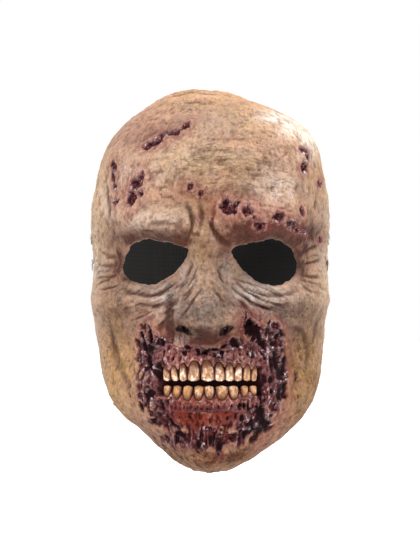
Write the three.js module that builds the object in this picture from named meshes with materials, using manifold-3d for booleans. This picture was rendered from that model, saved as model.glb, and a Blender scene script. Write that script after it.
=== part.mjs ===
// A zombie face mask: a hollow latex skin with open eyes and nostrils, and a torn mouth with gums and two rows of teeth
// behind it. A woven elastic band, riveted inside the temples, goes round the back of the wearer's head.
// Millimetres, +Z up, the face towards -Y and the face's left on +X. The origin is where the head sits: in the middle of
// the hollow, level with the eyes, in the plane of the cut edge.

import * as THREE from "three";
import { mergeVertices } from "three/addons/utils/BufferGeometryUtils.js";
import Module from "manifold-3d";

const wasm = await Module();
wasm.setup();

// Skin: the overall height and width, the reach of the brow in front of the cut edge, and how far the eyes are above
// the underside of the chin.
const maskHeight = 242;
const maskWidth = 155;
const faceReach = 96;
const eyeRise = 129.5;
const skinWall = 2.2;
const pieceGap = 0.35;

// Nose, from the brow down to its underside, with the width across its wings, how far its tip stands out and how far it
// is off the middle line.
const noseLength = 63;
const noseWidth = 43;
const noseReach = 26;
const noseTop = 15;
const noseAcross = -3;

// Eye holes and nostrils, placed from the middle line and from the eye level.
const eyeWidth = 41.5;
const eyeHeight = 28.5;
const eyeOffset = 34.5;
const nostrilWidth = 9;
const nostrilHeight = 5;
const nostrilOffset = 12;

// Mouth: the torn hole in the skin, how far its middle is above the bite, how far the bite is below the eyes, and the
// gums that show through the hole.
const mouthWidth = 76;
const mouthHeight = 41;
const mouthRise = 2.5;
const biteDrop = 75.5;
const gumWall = 2.2;
const gumMargin = 6;
const gumRidge = 1.8;

// Teeth: the rows' widths, the tallest crowns, and the slit between the rows.
const upperRowWidth = 59;
const lowerRowWidth = 58;
const upperCrown = 14.5;
const lowerCrown = 10.5;
const biteSlit = 3;
const toothDepth = 4.6;
const rootBar = 1.6;

// Elastic band and its rivets.
const bandWidth = 38;
const bandThickness = 1.6;
const bandReach = 106;
const bandTab = 22;
const bandRise = 7;
const bandFall = 4;
const rivetSetback = 11;
const rivetSpacing = 17;
const rivetHeadDiameter = 8;
const rivetHeadHeight = 1.1;
const rivetShank = 3.2;

// How finely each surface is divided.
const skinColumns = 36;
const skinRows = 44;
const middleDensity = 0.3;
const faceDensity = 1.5;
const gumColumns = 20;
const gumRows = 14;
const crownSides = 8;
const crownRows = 5;
const barColumns = 12;
const bandSteps = 24;
const roundSides = 10;

const halfWidth = maskWidth / 2;
const chinLevel = -eyeRise;
const biteLevel = -biteDrop;
const mouthLevel = biteLevel + mouthRise;

// Sections of the skin from the cut edge behind the chin, down under it and up to the crown. level is a share of the
// mask's height, half and shift of its half width, front and rim of the face's reach: front is the middle line and rim
// the cut edge. round is the power of the section's oval, 2 for an ellipse.
const sections = [
  { level: 0.005, half: 0.02, shift: 0.01, front: 0.43, rim: 0.415, round: 2.0 },
  { level: 0.002, half: 0.09, shift: 0.01, front: 0.55, rim: 0.41, round: 2.0 },
  { level: 0.0, half: 0.15, shift: 0.01, front: 0.67, rim: 0.405, round: 2.0 },
  { level: 0.005, half: 0.21, shift: 0.01, front: 0.775, rim: 0.4, round: 2.0 },
  { level: 0.014, half: 0.265, shift: 0.012, front: 0.85, rim: 0.39, round: 2.0 },
  { level: 0.03, half: 0.355, shift: 0.022, front: 0.915, rim: 0.37, round: 2.05 },
  { level: 0.055, half: 0.465, shift: 0.035, front: 0.955, rim: 0.335, round: 2.1 },
  { level: 0.085, half: 0.59, shift: 0.045, front: 0.97, rim: 0.28, round: 2.15 },
  { level: 0.12, half: 0.698, shift: 0.045, front: 0.975, rim: 0.22, round: 2.15 },
  { level: 0.165, half: 0.815, shift: 0.03, front: 0.975, rim: 0.15, round: 2.2 },
  { level: 0.21, half: 0.89, shift: 0.015, front: 0.98, rim: 0.08, round: 2.2 },
  { level: 0.255, half: 0.927, shift: 0.01, front: 0.98, rim: 0.03, round: 2.2 },
  { level: 0.3, half: 0.944, shift: 0.008, front: 0.975, rim: 0.0, round: 2.2 },
  { level: 0.345, half: 0.955, shift: 0.004, front: 0.965, rim: 0.0, round: 2.2 },
  { level: 0.39, half: 0.975, shift: 0.0, front: 0.96, rim: 0.0, round: 2.2 },
  { level: 0.44, half: 1.0, shift: 0.0, front: 0.96, rim: 0.0, round: 2.2 },
  { level: 0.5, half: 0.985, shift: 0.0, front: 0.965, rim: 0.0, round: 2.2 },
  { level: 0.56, half: 0.985, shift: 0.0, front: 0.98, rim: 0.0, round: 2.25 },
  { level: 0.62, half: 0.995, shift: 0.0, front: 1.0, rim: 0.0, round: 2.3 },
  { level: 0.68, half: 0.993, shift: 0.003, front: 1.0, rim: 0.0, round: 2.35 },
  { level: 0.74, half: 0.96, shift: 0.005, front: 0.975, rim: 0.0, round: 2.35 },
  { level: 0.8, half: 0.922, shift: 0.01, front: 0.92, rim: 0.0, round: 2.35 },
  { level: 0.85, half: 0.87, shift: 0.022, front: 0.845, rim: 0.0, round: 2.3 },
  { level: 0.895, half: 0.77, shift: 0.03, front: 0.735, rim: 0.0, round: 2.25 },
  { level: 0.935, half: 0.615, shift: 0.012, front: 0.58, rim: 0.0, round: 2.2 },
  { level: 0.967, half: 0.41, shift: -0.045, front: 0.42, rim: 0.0, round: 2.15 },
  { level: 0.987, half: 0.26, shift: -0.07, front: 0.26, rim: 0.0, round: 2.1 },
  { level: 0.998, half: 0.12, shift: -0.085, front: 0.11, rim: 0.0, round: 2.0 },
  { level: 1.0, half: 0.02, shift: -0.095, front: 0.02, rim: 0.0, round: 2.0 },
];
const lowestSection = 2;

// Lumps and hollows of the face. across, wide and tall are shares of the half width, level of the mask's height from the
// chin, and out of the face's reach. turn is in degrees, and both puts a mirrored one on the other side.
const lumps = [
  { name: "brow between the eyes", across: -0.04, level: 0.6, wide: 0.15, tall: 0.12, out: 0.05, turn: 0, both: false },
  { name: "brow ridge", across: 0.45, level: 0.64, wide: 0.26, tall: 0.095, out: 0.095, turn: 8, both: true },
  { name: "inner end of the right brow", across: -0.27, level: 0.628, wide: 0.1, tall: 0.08, out: 0.04, turn: 0, both: false },
  { name: "inner end of the left brow", across: 0.14, level: 0.612, wide: 0.09, tall: 0.09, out: 0.045, turn: -20, both: false },
  { name: "furrow of the right brow", across: -0.14, level: 0.615, wide: 0.04, tall: 0.14, out: -0.035, turn: -22, both: false },
  { name: "furrow of the left brow", across: 0.02, level: 0.62, wide: 0.035, tall: 0.12, out: -0.045, turn: 18, both: false },
  { name: "forehead boss", across: 0.3, level: 0.76, wide: 0.3, tall: 0.22, out: 0.025, turn: 0, both: true },
  { name: "hollow over the brows", across: 0.05, level: 0.69, wide: 0.5, tall: 0.05, out: -0.02, turn: 0, both: false },
  { name: "temple hollow", across: 0.85, level: 0.62, wide: 0.12, tall: 0.32, out: -0.04, turn: 0, both: true },
  { name: "eye socket", across: 0.46, level: 0.53, wide: 0.27, tall: 0.17, out: -0.125, turn: 0, both: true },
  { name: "bag under the eye", across: 0.47, level: 0.45, wide: 0.25, tall: 0.055, out: 0.04, turn: -6, both: true },
  { name: "hollow under the bag", across: 0.45, level: 0.41, wide: 0.22, tall: 0.04, out: -0.02, turn: -12, both: true },
  { name: "cheekbone", across: 0.76, level: 0.43, wide: 0.17, tall: 0.14, out: 0.06, turn: 12, both: true },
  { name: "cheek beside the nose", across: 0.42, level: 0.385, wide: 0.12, tall: 0.1, out: 0.04, turn: 30, both: true },
  { name: "crease from nose to mouth", across: 0.36, level: 0.33, wide: 0.2, tall: 0.05, out: -0.045, turn: -50, both: true },
  { name: "fold outside the mouth", across: 0.56, level: 0.28, wide: 0.07, tall: 0.28, out: 0.03, turn: -8, both: true },
  { name: "cheek hollow", across: 0.7, level: 0.3, wide: 0.15, tall: 0.2, out: -0.07, turn: 0, both: true },
  { name: "muzzle", across: 0.02, level: 0.23, wide: 0.45, tall: 0.3, out: 0.035, turn: 0, both: false },
  { name: "hollow over the chin", across: 0.02, level: 0.09, wide: 0.35, tall: 0.035, out: -0.02, turn: 0, both: false },
  { name: "chin pad", across: 0.02, level: 0.045, wide: 0.2, tall: 0.1, out: 0.04, turn: 0, both: false },
  { name: "jaw corner", across: 0.75, level: 0.17, wide: 0.16, tall: 0.16, out: 0.03, turn: 0, both: true },
];

// Nose sections from its underside up to the brow. up is a share of its length, rise of its reach and wide of its half
// width. The flatness is the power that flattens the bell across it.
const noseSections = [
  { up: -0.05, rise: 0.0, wide: 0.44 },
  { up: 0.02, rise: 0.42, wide: 0.46 },
  { up: 0.08, rise: 0.85, wide: 0.49 },
  { up: 0.16, rise: 1.0, wide: 0.5 },
  { up: 0.28, rise: 0.95, wide: 0.48 },
  { up: 0.4, rise: 0.8, wide: 0.42 },
  { up: 0.56, rise: 0.62, wide: 0.36 },
  { up: 0.72, rise: 0.46, wide: 0.33 },
  { up: 0.88, rise: 0.3, wide: 0.35 },
  { up: 1.04, rise: 0.12, wide: 0.45 },
  { up: 1.2, rise: 0.0, wide: 0.55 },
];
const noseFlatness = 1.35;
const noseWings = [
  { side: -1, up: 0.2, rise: 0.5, wide: 0.22, tall: 0.1 },
  { side: 1, up: 0.2, rise: 0.47, wide: 0.2, tall: 0.1 },
];

// Outlines of the holes, in shares of each hole's half width and half height. The eye's is that on +X, and its outer
// corner is on the right.
const eyeOutline = [
  { across: -1.0, up: 0.52 },
  { across: -0.72, up: 0.72 },
  { across: -0.3, up: 0.86 },
  { across: 0.15, up: 1.0 },
  { across: 0.55, up: 0.88 },
  { across: 0.85, up: 0.42 },
  { across: 1.0, up: -0.2 },
  { across: 0.82, up: -0.72 },
  { across: 0.4, up: -0.98 },
  { across: 0.0, up: -0.95 },
  { across: -0.45, up: -0.62 },
  { across: -0.82, up: -0.05 },
];
const mouthOutline = [
  { across: -0.97, up: 0.25 },
  { across: -0.88, up: 0.9 },
  { across: -0.68, up: 1.1 },
  { across: -0.46, up: 0.94 },
  { across: -0.24, up: 1.02 },
  { across: 0.0, up: 0.9 },
  { across: 0.22, up: 0.98 },
  { across: 0.42, up: 1.0 },
  { across: 0.62, up: 1.14 },
  { across: 0.86, up: 0.98 },
  { across: 0.98, up: 0.3 },
  { across: 1.02, up: -0.35 },
  { across: 0.88, up: -0.86 },
  { across: 0.55, up: -1.0 },
  { across: 0.15, up: -0.94 },
  { across: -0.3, up: -1.02 },
  { across: -0.72, up: -0.92 },
  { across: -0.98, up: -0.5 },
];

// Teeth from the wearer's right to left. at is a share of the row's half width, wide of its whole width, tall of the
// row's tallest crown.
const upperTeeth = [
  { at: -0.93, wide: 0.072, tall: 0.7 },
  { at: -0.76, wide: 0.066, tall: 0.76 },
  { at: -0.57, wide: 0.07, tall: 0.84 },
  { at: -0.34, wide: 0.108, tall: 0.96 },
  { at: -0.05, wide: 0.12, tall: 1.0 },
  { at: 0.2, wide: 0.092, tall: 0.9 },
  { at: 0.41, wide: 0.084, tall: 0.9 },
  { at: 0.6, wide: 0.076, tall: 0.86 },
  { at: 0.78, wide: 0.072, tall: 0.84 },
  { at: 0.94, wide: 0.062, tall: 0.74 },
];
const lowerTeeth = [
  { at: -0.92, wide: 0.074, tall: 0.74 },
  { at: -0.71, wide: 0.082, tall: 0.9 },
  { at: -0.48, wide: 0.09, tall: 1.0 },
  { at: -0.24, wide: 0.088, tall: 0.96 },
  { at: -0.01, wide: 0.09, tall: 0.92 },
  { at: 0.26, wide: 0.112, tall: 0.96 },
  { at: 0.51, wide: 0.09, tall: 0.94 },
  { at: 0.74, wide: 0.07, tall: 0.78 },
  { at: 0.93, wide: 0.072, tall: 0.7 },
];

// A smooth curve through one column of a table, with place counted in rows.
function along(table, column, place) {
  const last = table.length - 1;
  const row = Math.min(Math.floor(Math.max(place, 0)), last - 1);
  const [a, b, c, d] = [row - 1, row, row + 1, row + 2].map(
    (i) => table[Math.min(Math.max(i, 0), last)][column],
  );
  const t = Math.min(Math.max(place, 0), last) - row;
  return b + 0.5 * t * (c - a + t * (2 * a - 5 * b + 4 * c - d + t * (3 * (b - c) + d - a)));
}

// The place in a table, in rows, at which a rising column reaches value.
function placeOf(table, column, value, low = 0) {
  let [from, to] = [low, table.length - 1];
  for (let i = 0; i < 40; i += 1) {
    const middle = (from + to) / 2;
    if (along(table, column, middle) < value) from = middle;
    else to = middle;
  }
  return from;
}

const bell = (distance) => Math.exp(-0.5 * distance * distance);
const smooth = (low, high, value) => THREE.MathUtils.smoothstep(value, low, high);
const signedPower = (value, power) => Math.sign(value) * Math.abs(value) ** power;

// The smooth oval head form. u runs from the cut edge on -X to that on +X, place is counted in sections.
function headForm(u, place) {
  const angle = (u * Math.PI) / 2;
  const power = 2 / along(sections, "round", place);
  const rim = along(sections, "rim", place) * faceReach;
  const front = along(sections, "front", place) * faceReach;
  return new THREE.Vector3(
    halfWidth * (along(sections, "shift", place) + along(sections, "half", place) * signedPower(Math.sin(angle), power)),
    -rim - (front - rim) * Math.cos(angle) ** power,
    chinLevel + maskHeight * along(sections, "level", place),
  );
}

// The outward normal of a surface given as a function of u and place.
function normalOf(surface, u, place) {
  const step = 0.02;
  const across = surface(Math.min(u + step, 1), place).sub(surface(Math.max(u - step, -1), place));
  const last = sections.length - 1;
  const up = surface(u, Math.min(place + step, last)).sub(surface(u, Math.max(place - step, 0)));
  return across.cross(up).normalize();
}

// How far the lumps push the skin out at a point of the face.
function lumpRelief(x, z) {
  let out = 0;
  for (const lump of lumps) {
    for (const side of lump.both ? [-1, 1] : [1]) {
      const turn = THREE.MathUtils.degToRad(lump.turn) * side;
      const dx = x - side * lump.across * halfWidth;
      const dz = z - chinLevel - lump.level * maskHeight;
      const along = dx * Math.cos(turn) + dz * Math.sin(turn);
      const over = dz * Math.cos(turn) - dx * Math.sin(turn);
      out += lump.out * faceReach * bell(along / (lump.wide * halfWidth)) * bell(over / (lump.tall * halfWidth));
    }
  }
  return out;
}

// How far the nose stands forward at a point of the face.
function noseRelief(x, z) {
  const up = (z - (noseTop - noseLength)) / noseLength;
  const first = noseSections[0].up;
  if (up < first || up > noseSections[noseSections.length - 1].up) return 0;
  const place = placeOf(noseSections, "up", up);
  const across = (x - noseAcross) / (noseWidth / 2);
  const share = Math.abs(across / along(noseSections, "wide", place)) ** noseFlatness;
  let out = along(noseSections, "rise", place) * bell(share);
  for (const wing of noseWings) {
    const over = smooth(first, wing.up, up) * bell((up - wing.up) / wing.tall);
    out += wing.rise * over * bell((across - wing.side * 0.78) / wing.wide);
  }
  return Math.max(out, 0) * noseReach;
}

// The face without its nose: the head form, with its relief dying out towards the cut edge.
const rimFade = (u) => 1 - smooth(0.72, 0.96, Math.abs(u));
function face(u, place) {
  const point = headForm(u, place);
  return point.addScaledVector(normalOf(headForm, u, place), lumpRelief(point.x, point.z) * rimFade(u));
}

// The outer face of the skin, with the nose standing straight forward from the face.
function skin(u, place) {
  const { x, z } = headForm(u, place);
  const point = face(u, place);
  point.y -= noseRelief(x, z) * rimFade(u);
  return point;
}

// A point at some depth under one of these surfaces.
const under = (surface, u, place, depth) =>
  surface(u, place).addScaledVector(normalOf(surface, u, place), -depth);

// Where a point of the face lies on the skin, as u and place.
function locate(x, z) {
  const place = placeOf(sections, "level", (z - chinLevel) / maskHeight, lowestSection);
  const share = (x / halfWidth - along(sections, "shift", place)) / along(sections, "half", place);
  const power = along(sections, "round", place) / 2;
  return { u: (Math.asin(signedPower(share, power)) * 2) / Math.PI, place };
}

// A closed geometry from a list of triangles, each of three points, facing out.
function closedGeometry(triangles) {
  const geometry = new THREE.BufferGeometry().setFromPoints(triangles.flat());
  return mergeVertices(geometry, 1e-4);
}

// A slab between two surfaces over the same grid, given as functions of a column's and a row's share from 0 to 1.
function slab(outer, inner, columns, rows) {
  const grid = (surface) =>
    Array.from({ length: rows + 1 }, (_, j) =>
      Array.from({ length: columns + 1 }, (_, i) => surface(i / columns, j / rows)),
    );
  const [top, base] = [grid(outer), grid(inner)];
  const triangles = [];
  const quad = (a, b, c, d) => triangles.push([a, b, c], [a, c, d]);
  for (let j = 0; j < rows; j += 1) {
    for (let i = 0; i < columns; i += 1) {
      quad(top[j][i], top[j][i + 1], top[j + 1][i + 1], top[j + 1][i]);
      quad(base[j][i], base[j + 1][i], base[j + 1][i + 1], base[j][i + 1]);
    }
    quad(top[j][0], top[j + 1][0], base[j + 1][0], base[j][0]);
    quad(top[j + 1][columns], top[j][columns], base[j][columns], base[j + 1][columns]);
  }
  for (let i = 0; i < columns; i += 1) {
    quad(top[0][i + 1], top[0][i], base[0][i], base[0][i + 1]);
    quad(top[rows][i], top[rows][i + 1], base[rows][i + 1], base[rows][i]);
  }
  return closedGeometry(triangles);
}

function toSolid(geometry) {
  const bare = geometry.clone();
  bare.deleteAttribute("normal");
  bare.deleteAttribute("uv");
  const merged = mergeVertices(bare, 1e-4);
  return new wasm.Manifold(
    new wasm.Mesh({
      numProp: 3,
      vertProperties: new Float32Array(merged.attributes.position.array),
      triVerts: new Uint32Array(merged.index.array),
    }),
  );
}

function toGeometry(solid) {
  const mesh = solid.getMesh();
  return new THREE.BufferGeometry()
    .setAttribute("position", new THREE.BufferAttribute(mesh.vertProperties, mesh.numProp))
    .setIndex(new THREE.BufferAttribute(mesh.triVerts, 1));
}

// A cutter with a smooth outline in the X-Z plane, running along Y between two reaches in front of the cut edge.
function frontCutter({ outline, width, height, x, z, mirror = 1, from, to, steps }) {
  const points = outline.map(
    ({ across, up }) => new THREE.Vector2((mirror * across * width) / 2, (up * height) / 2),
  );
  const curve = new THREE.SplineCurve([...points, points[0]]);
  const shape = new THREE.Shape(curve.getPoints(steps));
  return new THREE.ExtrudeGeometry(shape, { depth: to - from, bevelEnabled: false })
    .rotateX(Math.PI / 2)
    .translate(x, -from, z);
}

// The nostril cutter: an oval tube that comes up through the underside of the nose. Its length and place are shares of
// the nose, forward from the brow and up from the underside. Its lean from level and its splay are in degrees.
const nostrilTube = { long: 0.28, forward: 0.42, up: 0.07, lean: 62, splay: 12 };
function nostrilCutter(side) {
  const underside = noseTop - noseLength;
  return new THREE.CylinderGeometry(1, 1, noseLength * nostrilTube.long, roundSides)
    .scale(nostrilWidth / 2, 1, nostrilHeight / 2)
    .rotateX(THREE.MathUtils.degToRad(90 - nostrilTube.lean))
    .rotateZ(THREE.MathUtils.degToRad(nostrilTube.splay) * side)
    .translate(
      noseAcross + side * nostrilOffset,
      -faceReach - noseReach * nostrilTube.forward,
      underside + noseLength * nostrilTube.up,
    );
}

// Half the width of the skin at some depth in it, at a height and at a reach in front of the cut edge.
function halfAt(z, reach, depth) {
  const place = placeOf(sections, "level", (z - chinLevel) / maskHeight, lowestSection);
  let [from, to] = [0.5, 1];
  for (let i = 0; i < 30; i += 1) {
    const middle = (from + to) / 2;
    if (-under(skin, middle, place, depth).y > reach) from = middle;
    else to = middle;
  }
  return under(skin, from, place, depth).x;
}

// The band's middle line in plan: two straight tabs along the temples, joined by an oval round the back of the head.
const bandLevels = [-0.5, -0.25, 0, 0.25, 0.5].map((share) => bandRise + share * bandWidth);
const clearHalf = Math.min(...bandLevels.flatMap((z) => [0, bandTab].map((reach) => halfAt(z, reach, skinWall))));
const bandHalf = clearHalf - 2 * pieceGap - bandThickness / 2;

function bandPoint(share) {
  const tabShare = bandTab / (2 * bandTab + Math.PI * Math.sqrt((bandHalf ** 2 + bandReach ** 2) / 2));
  const side = share < 0.5 ? -1 : 1;
  const fromEnd = Math.min(share, 1 - share);
  if (fromEnd <= tabShare) return new THREE.Vector3(side * bandHalf, bandTab * (fromEnd / tabShare - 1), bandRise);
  const angle = ((fromEnd - tabShare) / (0.5 - tabShare)) * (Math.PI / 2);
  const fall = bandFall * smooth(0, 1, Math.sin(angle));
  return new THREE.Vector3(side * bandHalf * Math.cos(angle), bandReach * Math.sin(angle), bandRise - fall);
}

// The band as a strip of the given width, square to its middle line in plan.
function bandGeometry() {
  const strip = (offset) => (share, height) => {
    const point = bandPoint(share);
    const ahead = bandPoint(Math.min(share + 0.002, 1)).sub(bandPoint(Math.max(share - 0.002, 0)));
    const outward = new THREE.Vector3(-ahead.y, ahead.x, 0).normalize();
    point.addScaledVector(outward, offset);
    point.z += (height - 0.5) * bandWidth;
    return point;
  };
  return slab(strip(-bandThickness / 2), strip(bandThickness / 2), bandSteps, 1);
}

// A rivet along +X from the origin at the shank's middle, with a head outside the skin and one inside the band.
function rivetGeometry(shankLength) {
  const [head, shank, half] = [rivetHeadDiameter / 2, rivetShank / 2, shankLength / 2];
  const profile = [
    new THREE.Vector2(0, -half - rivetHeadHeight),
    new THREE.Vector2(head * 0.7, -half - rivetHeadHeight),
    new THREE.Vector2(head, -half),
    new THREE.Vector2(shank, -half),
    new THREE.Vector2(shank, half),
    new THREE.Vector2(head, half),
    new THREE.Vector2(head * 0.7, half + rivetHeadHeight),
    new THREE.Vector2(0, half + rivetHeadHeight),
  ];
  return new THREE.LatheGeometry(profile, roundSides).rotateZ(-Math.PI / 2);
}

const rivetPlaces = [-1, 1].flatMap((side) =>
  [-0.5, 0.5].map((share) => ({
    side,
    z: bandRise + share * rivetSpacing,
    name: `rivet_${side < 0 ? "right" : "left"}_${share < 0 ? "lower" : "upper"}`,
  })),
);
const rivetHoleRadius = rivetShank / 2 + pieceGap;

const rivetHoleCutters = rivetPlaces.map(({ side, z }) =>
  new THREE.CylinderGeometry(rivetHoleRadius, rivetHoleRadius, maskWidth / 4, roundSides)
    .rotateZ(Math.PI / 2)
    .translate(side * bandHalf, -rivetSetback, z),
);

// The skin's columns are closer together near the middle line.
function columnU(column) {
  const side = 2 * column - 1;
  return side * (1 - middleDensity * (1 - side * side));
}

// The skin's rows are closer together over the eyes, nose and mouth. These are their distances up the middle line.
const rowDistances = sections.reduce((distances, section, i) => {
  if (i === 0) return [0];
  const step = headForm(0, i).distanceTo(headForm(0, i - 1));
  const weight = 1 + faceDensity * bell((section.level - 0.38) / 0.18);
  return [...distances, distances[i - 1] + step * weight];
}, []);

function rowPlace(row) {
  const distance = row * rowDistances[rowDistances.length - 1];
  const above = Math.max(rowDistances.findIndex((reached) => reached >= distance), 1);
  return above - (rowDistances[above] - distance) / (rowDistances[above] - rowDistances[above - 1]);
}

// The latex skin with its holes.
function skinGeometry() {
  const outer = (column, row) => skin(columnU(column), rowPlace(row));
  const inner = (column, row) => under(skin, columnU(column), rowPlace(row), skinWall);
  let solid = toSolid(slab(outer, inner, skinColumns, skinRows));
  const cutters = [
    ...[-1, 1].map((side) =>
      frontCutter({
        outline: eyeOutline,
        width: eyeWidth,
        height: eyeHeight,
        x: side * eyeOffset,
        z: 0,
        mirror: side,
        from: faceReach * 0.3,
        to: faceReach * 1.5,
        steps: 36,
      }),
    ),
    frontCutter({
      outline: mouthOutline,
      width: mouthWidth,
      height: mouthHeight,
      x: 0,
      z: mouthLevel,
      from: faceReach * 0.5,
      to: faceReach * 1.5,
      steps: 54,
    }),
    nostrilCutter(-1),
    nostrilCutter(1),
    ...rivetHoleCutters,
  ];
  for (const cutter of cutters) solid = solid.subtract(toSolid(cutter));
  return toGeometry(solid);
}

// Depths of the mouth's pieces under the skin's outer face: the gums' border lies behind the skin, their ridges come
// forward through the hole, and the teeth stand in the trough between the ridges.
const gumBorder = skinWall + 2 * pieceGap;
const ridgeDepth = skinWall / 2;
const barDepth = toothDepth;
const troughDepth = barDepth + rootBar + pieceGap;
const upperNeck = biteLevel + biteSlit / 2 + upperCrown;
const lowerNeck = biteLevel - biteSlit / 2 - lowerCrown;

// How deep the gums' front lies at a point: a trough behind both rows of teeth, with a ridge along each row's necks.
function gumDepth(x, z) {
  const across = Math.abs(x) / (upperRowWidth / 2);
  const beyond = Math.max(z - upperNeck, lowerNeck - z);
  const trough = (1 - smooth(0.2 * gumRidge, 0.8 * gumRidge, beyond)) * (1 - smooth(1.04, 1.22, across));
  const crest = smooth(0, gumRidge, beyond) * (1 - smooth(gumRidge, 2 * gumRidge, beyond));
  const ridge = crest * (1 - trough) * (1 - smooth(0.8, 1, across));
  return gumBorder + (troughDepth - gumBorder) * trough - (gumBorder - ridgeDepth) * ridge;
}

// A slab over a stretch of the face, between two depths under the skin given as functions of x and z.
function faceSlab({ width, bottom, top, front, back, columns, rows }) {
  const layer = (depth) => (column, row) => {
    const x = (column - 0.5) * width;
    const z = bottom + row * (top - bottom);
    const { u, place } = locate(x, z);
    return under(face, u, place, depth(x, z));
  };
  return slab(layer(front), layer(back), columns, rows);
}

function gumGeometry() {
  return faceSlab({
    width: mouthWidth + 2 * gumMargin,
    bottom: mouthLevel - mouthHeight / 2 - gumMargin,
    top: mouthLevel + mouthHeight / 2 + gumMargin,
    front: gumDepth,
    back: (x, z) => gumDepth(x, z) + gumWall,
    columns: gumColumns,
    rows: gumRows,
  });
}

// One crown: a rounded block that is wider at its biting edge than at its neck, centred on the origin and facing -Y. The
// powers square it off each way, neck is its width there as a share of the edge's, and sunk how much of the tooth's depth
// stands in front of the bar.
const crownForm = { across: 0.7, deep: 0.8, tall: 0.75, neck: 0.72, sunk: 0.32 };
function crownGeometry(width, depth, height, edge) {
  const crown = new THREE.SphereGeometry(1, crownSides, crownRows);
  const position = crown.attributes.position;
  for (let i = 0; i < position.count; i += 1) {
    const [x, y, z] = [position.getX(i), position.getZ(i), position.getY(i)];
    const taper = (1 + crownForm.neck) / 2 + ((1 - crownForm.neck) / 2) * z * edge;
    position.setXYZ(
      i,
      (signedPower(x, crownForm.across) * taper * width) / 2,
      (-signedPower(y, crownForm.deep) * depth) / 2,
      (signedPower(z, crownForm.tall) * height) / 2,
    );
  }
  return crown;
}

// A row of crowns on a thin bar that follows the arch. edge is -1 where the biting edge is below, and 1 where it is above.
function toothRow({ teeth, rowWidth, tallest, edge }) {
  const bite = biteLevel - (edge * biteSlit) / 2;
  const barHeight = tallest * 0.4;
  const barMiddle = bite - edge * tallest * 0.5;
  const barSpan = rowWidth * 0.96;
  let row = toSolid(
    faceSlab({
      width: barSpan,
      bottom: barMiddle - barHeight / 2,
      top: barMiddle + barHeight / 2,
      front: () => barDepth,
      back: () => barDepth + rootBar,
      columns: barColumns,
      rows: 1,
    }),
  );
  for (const tooth of teeth) {
    const height = tooth.tall * tallest;
    const { u, place } = locate((tooth.at * rowWidth) / 2, bite - (edge * height) / 2);
    const centre = under(face, u, place, barDepth - toothDepth * crownForm.sunk);
    const normal = normalOf(face, u, place);
    const crown = crownGeometry(tooth.wide * rowWidth, toothDepth, height, edge);
    crown.rotateZ(Math.atan2(normal.x, -normal.y)).translate(centre.x, centre.y, centre.z);
    row = row.add(toSolid(crown));
  }
  return toGeometry(row);
}

const finish = (color, roughness, metalness = 0) =>
  new THREE.MeshStandardMaterial({ color, roughness, metalness, flatShading: true });

const mask = new THREE.Group();
function addPiece(name, geometry, material, position = [0, 0, 0]) {
  const mesh = new THREE.Mesh(geometry, material);
  mesh.name = name;
  mesh.position.set(...position);
  mask.add(mesh);
}

addPiece("face_skin", skinGeometry(), finish(0xa98468, 0.62));
addPiece("gums", gumGeometry(), finish(0x5a2420, 0.35));
const enamel = finish(0xc99a5c, 0.3);
addPiece("upper_teeth", toothRow({ teeth: upperTeeth, rowWidth: upperRowWidth, tallest: upperCrown, edge: -1 }), enamel);
addPiece("lower_teeth", toothRow({ teeth: lowerTeeth, rowWidth: lowerRowWidth, tallest: lowerCrown, edge: 1 }), enamel);

let band = toSolid(bandGeometry());
for (const cutter of rivetHoleCutters) band = band.subtract(toSolid(cutter));
addPiece("elastic_band", toGeometry(band), finish(0x141414, 0.9));

const steel = finish(0x8c8a84, 0.35, 0.9);
for (const { side, z, name } of rivetPlaces) {
  const outside = halfAt(z, rivetSetback - rivetHeadDiameter / 2, 0) + pieceGap;
  const inside = bandHalf - bandThickness / 2 - pieceGap;
  const middle = (side * (outside + inside)) / 2;
  addPiece(name, rivetGeometry(outside - inside), steel, [middle, -rivetSetback, z]);
}

export default mask;
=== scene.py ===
import bmesh
import bpy
import numpy as np
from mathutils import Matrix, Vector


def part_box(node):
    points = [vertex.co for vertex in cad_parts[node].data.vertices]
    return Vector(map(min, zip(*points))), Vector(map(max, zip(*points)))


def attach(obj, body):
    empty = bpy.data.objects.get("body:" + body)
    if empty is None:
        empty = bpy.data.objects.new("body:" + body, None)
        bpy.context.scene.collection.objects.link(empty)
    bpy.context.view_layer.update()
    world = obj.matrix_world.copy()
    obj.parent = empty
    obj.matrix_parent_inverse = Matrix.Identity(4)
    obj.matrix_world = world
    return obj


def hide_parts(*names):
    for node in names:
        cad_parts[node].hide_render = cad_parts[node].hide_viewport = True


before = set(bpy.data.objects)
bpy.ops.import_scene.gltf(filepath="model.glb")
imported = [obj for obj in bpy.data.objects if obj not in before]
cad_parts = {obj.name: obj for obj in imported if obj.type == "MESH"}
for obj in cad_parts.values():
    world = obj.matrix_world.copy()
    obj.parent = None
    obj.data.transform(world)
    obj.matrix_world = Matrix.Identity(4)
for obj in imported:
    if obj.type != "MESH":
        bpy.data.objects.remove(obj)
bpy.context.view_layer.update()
mm = 0.001


def boxOf(node):  # the two corners of a CAD piece's box, in millimetres
    return [np.array(corner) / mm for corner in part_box(node)]


print("frame loaded")


# Curves, noise and distances, all on whole arrays of points in millimetres.

def smooth(low, high, value):  # 3t^2 - 2t^3 between low and high
    t = np.clip((value - low) / (high - low), 0, 1)
    return t * t * (3 - 2 * t)


def bell(distance):  # exp(-d^2 / 2)
    return np.exp(-0.5 * distance ** 2)


def signedPower(value, power):
    return np.sign(value) * np.abs(value) ** power


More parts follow.
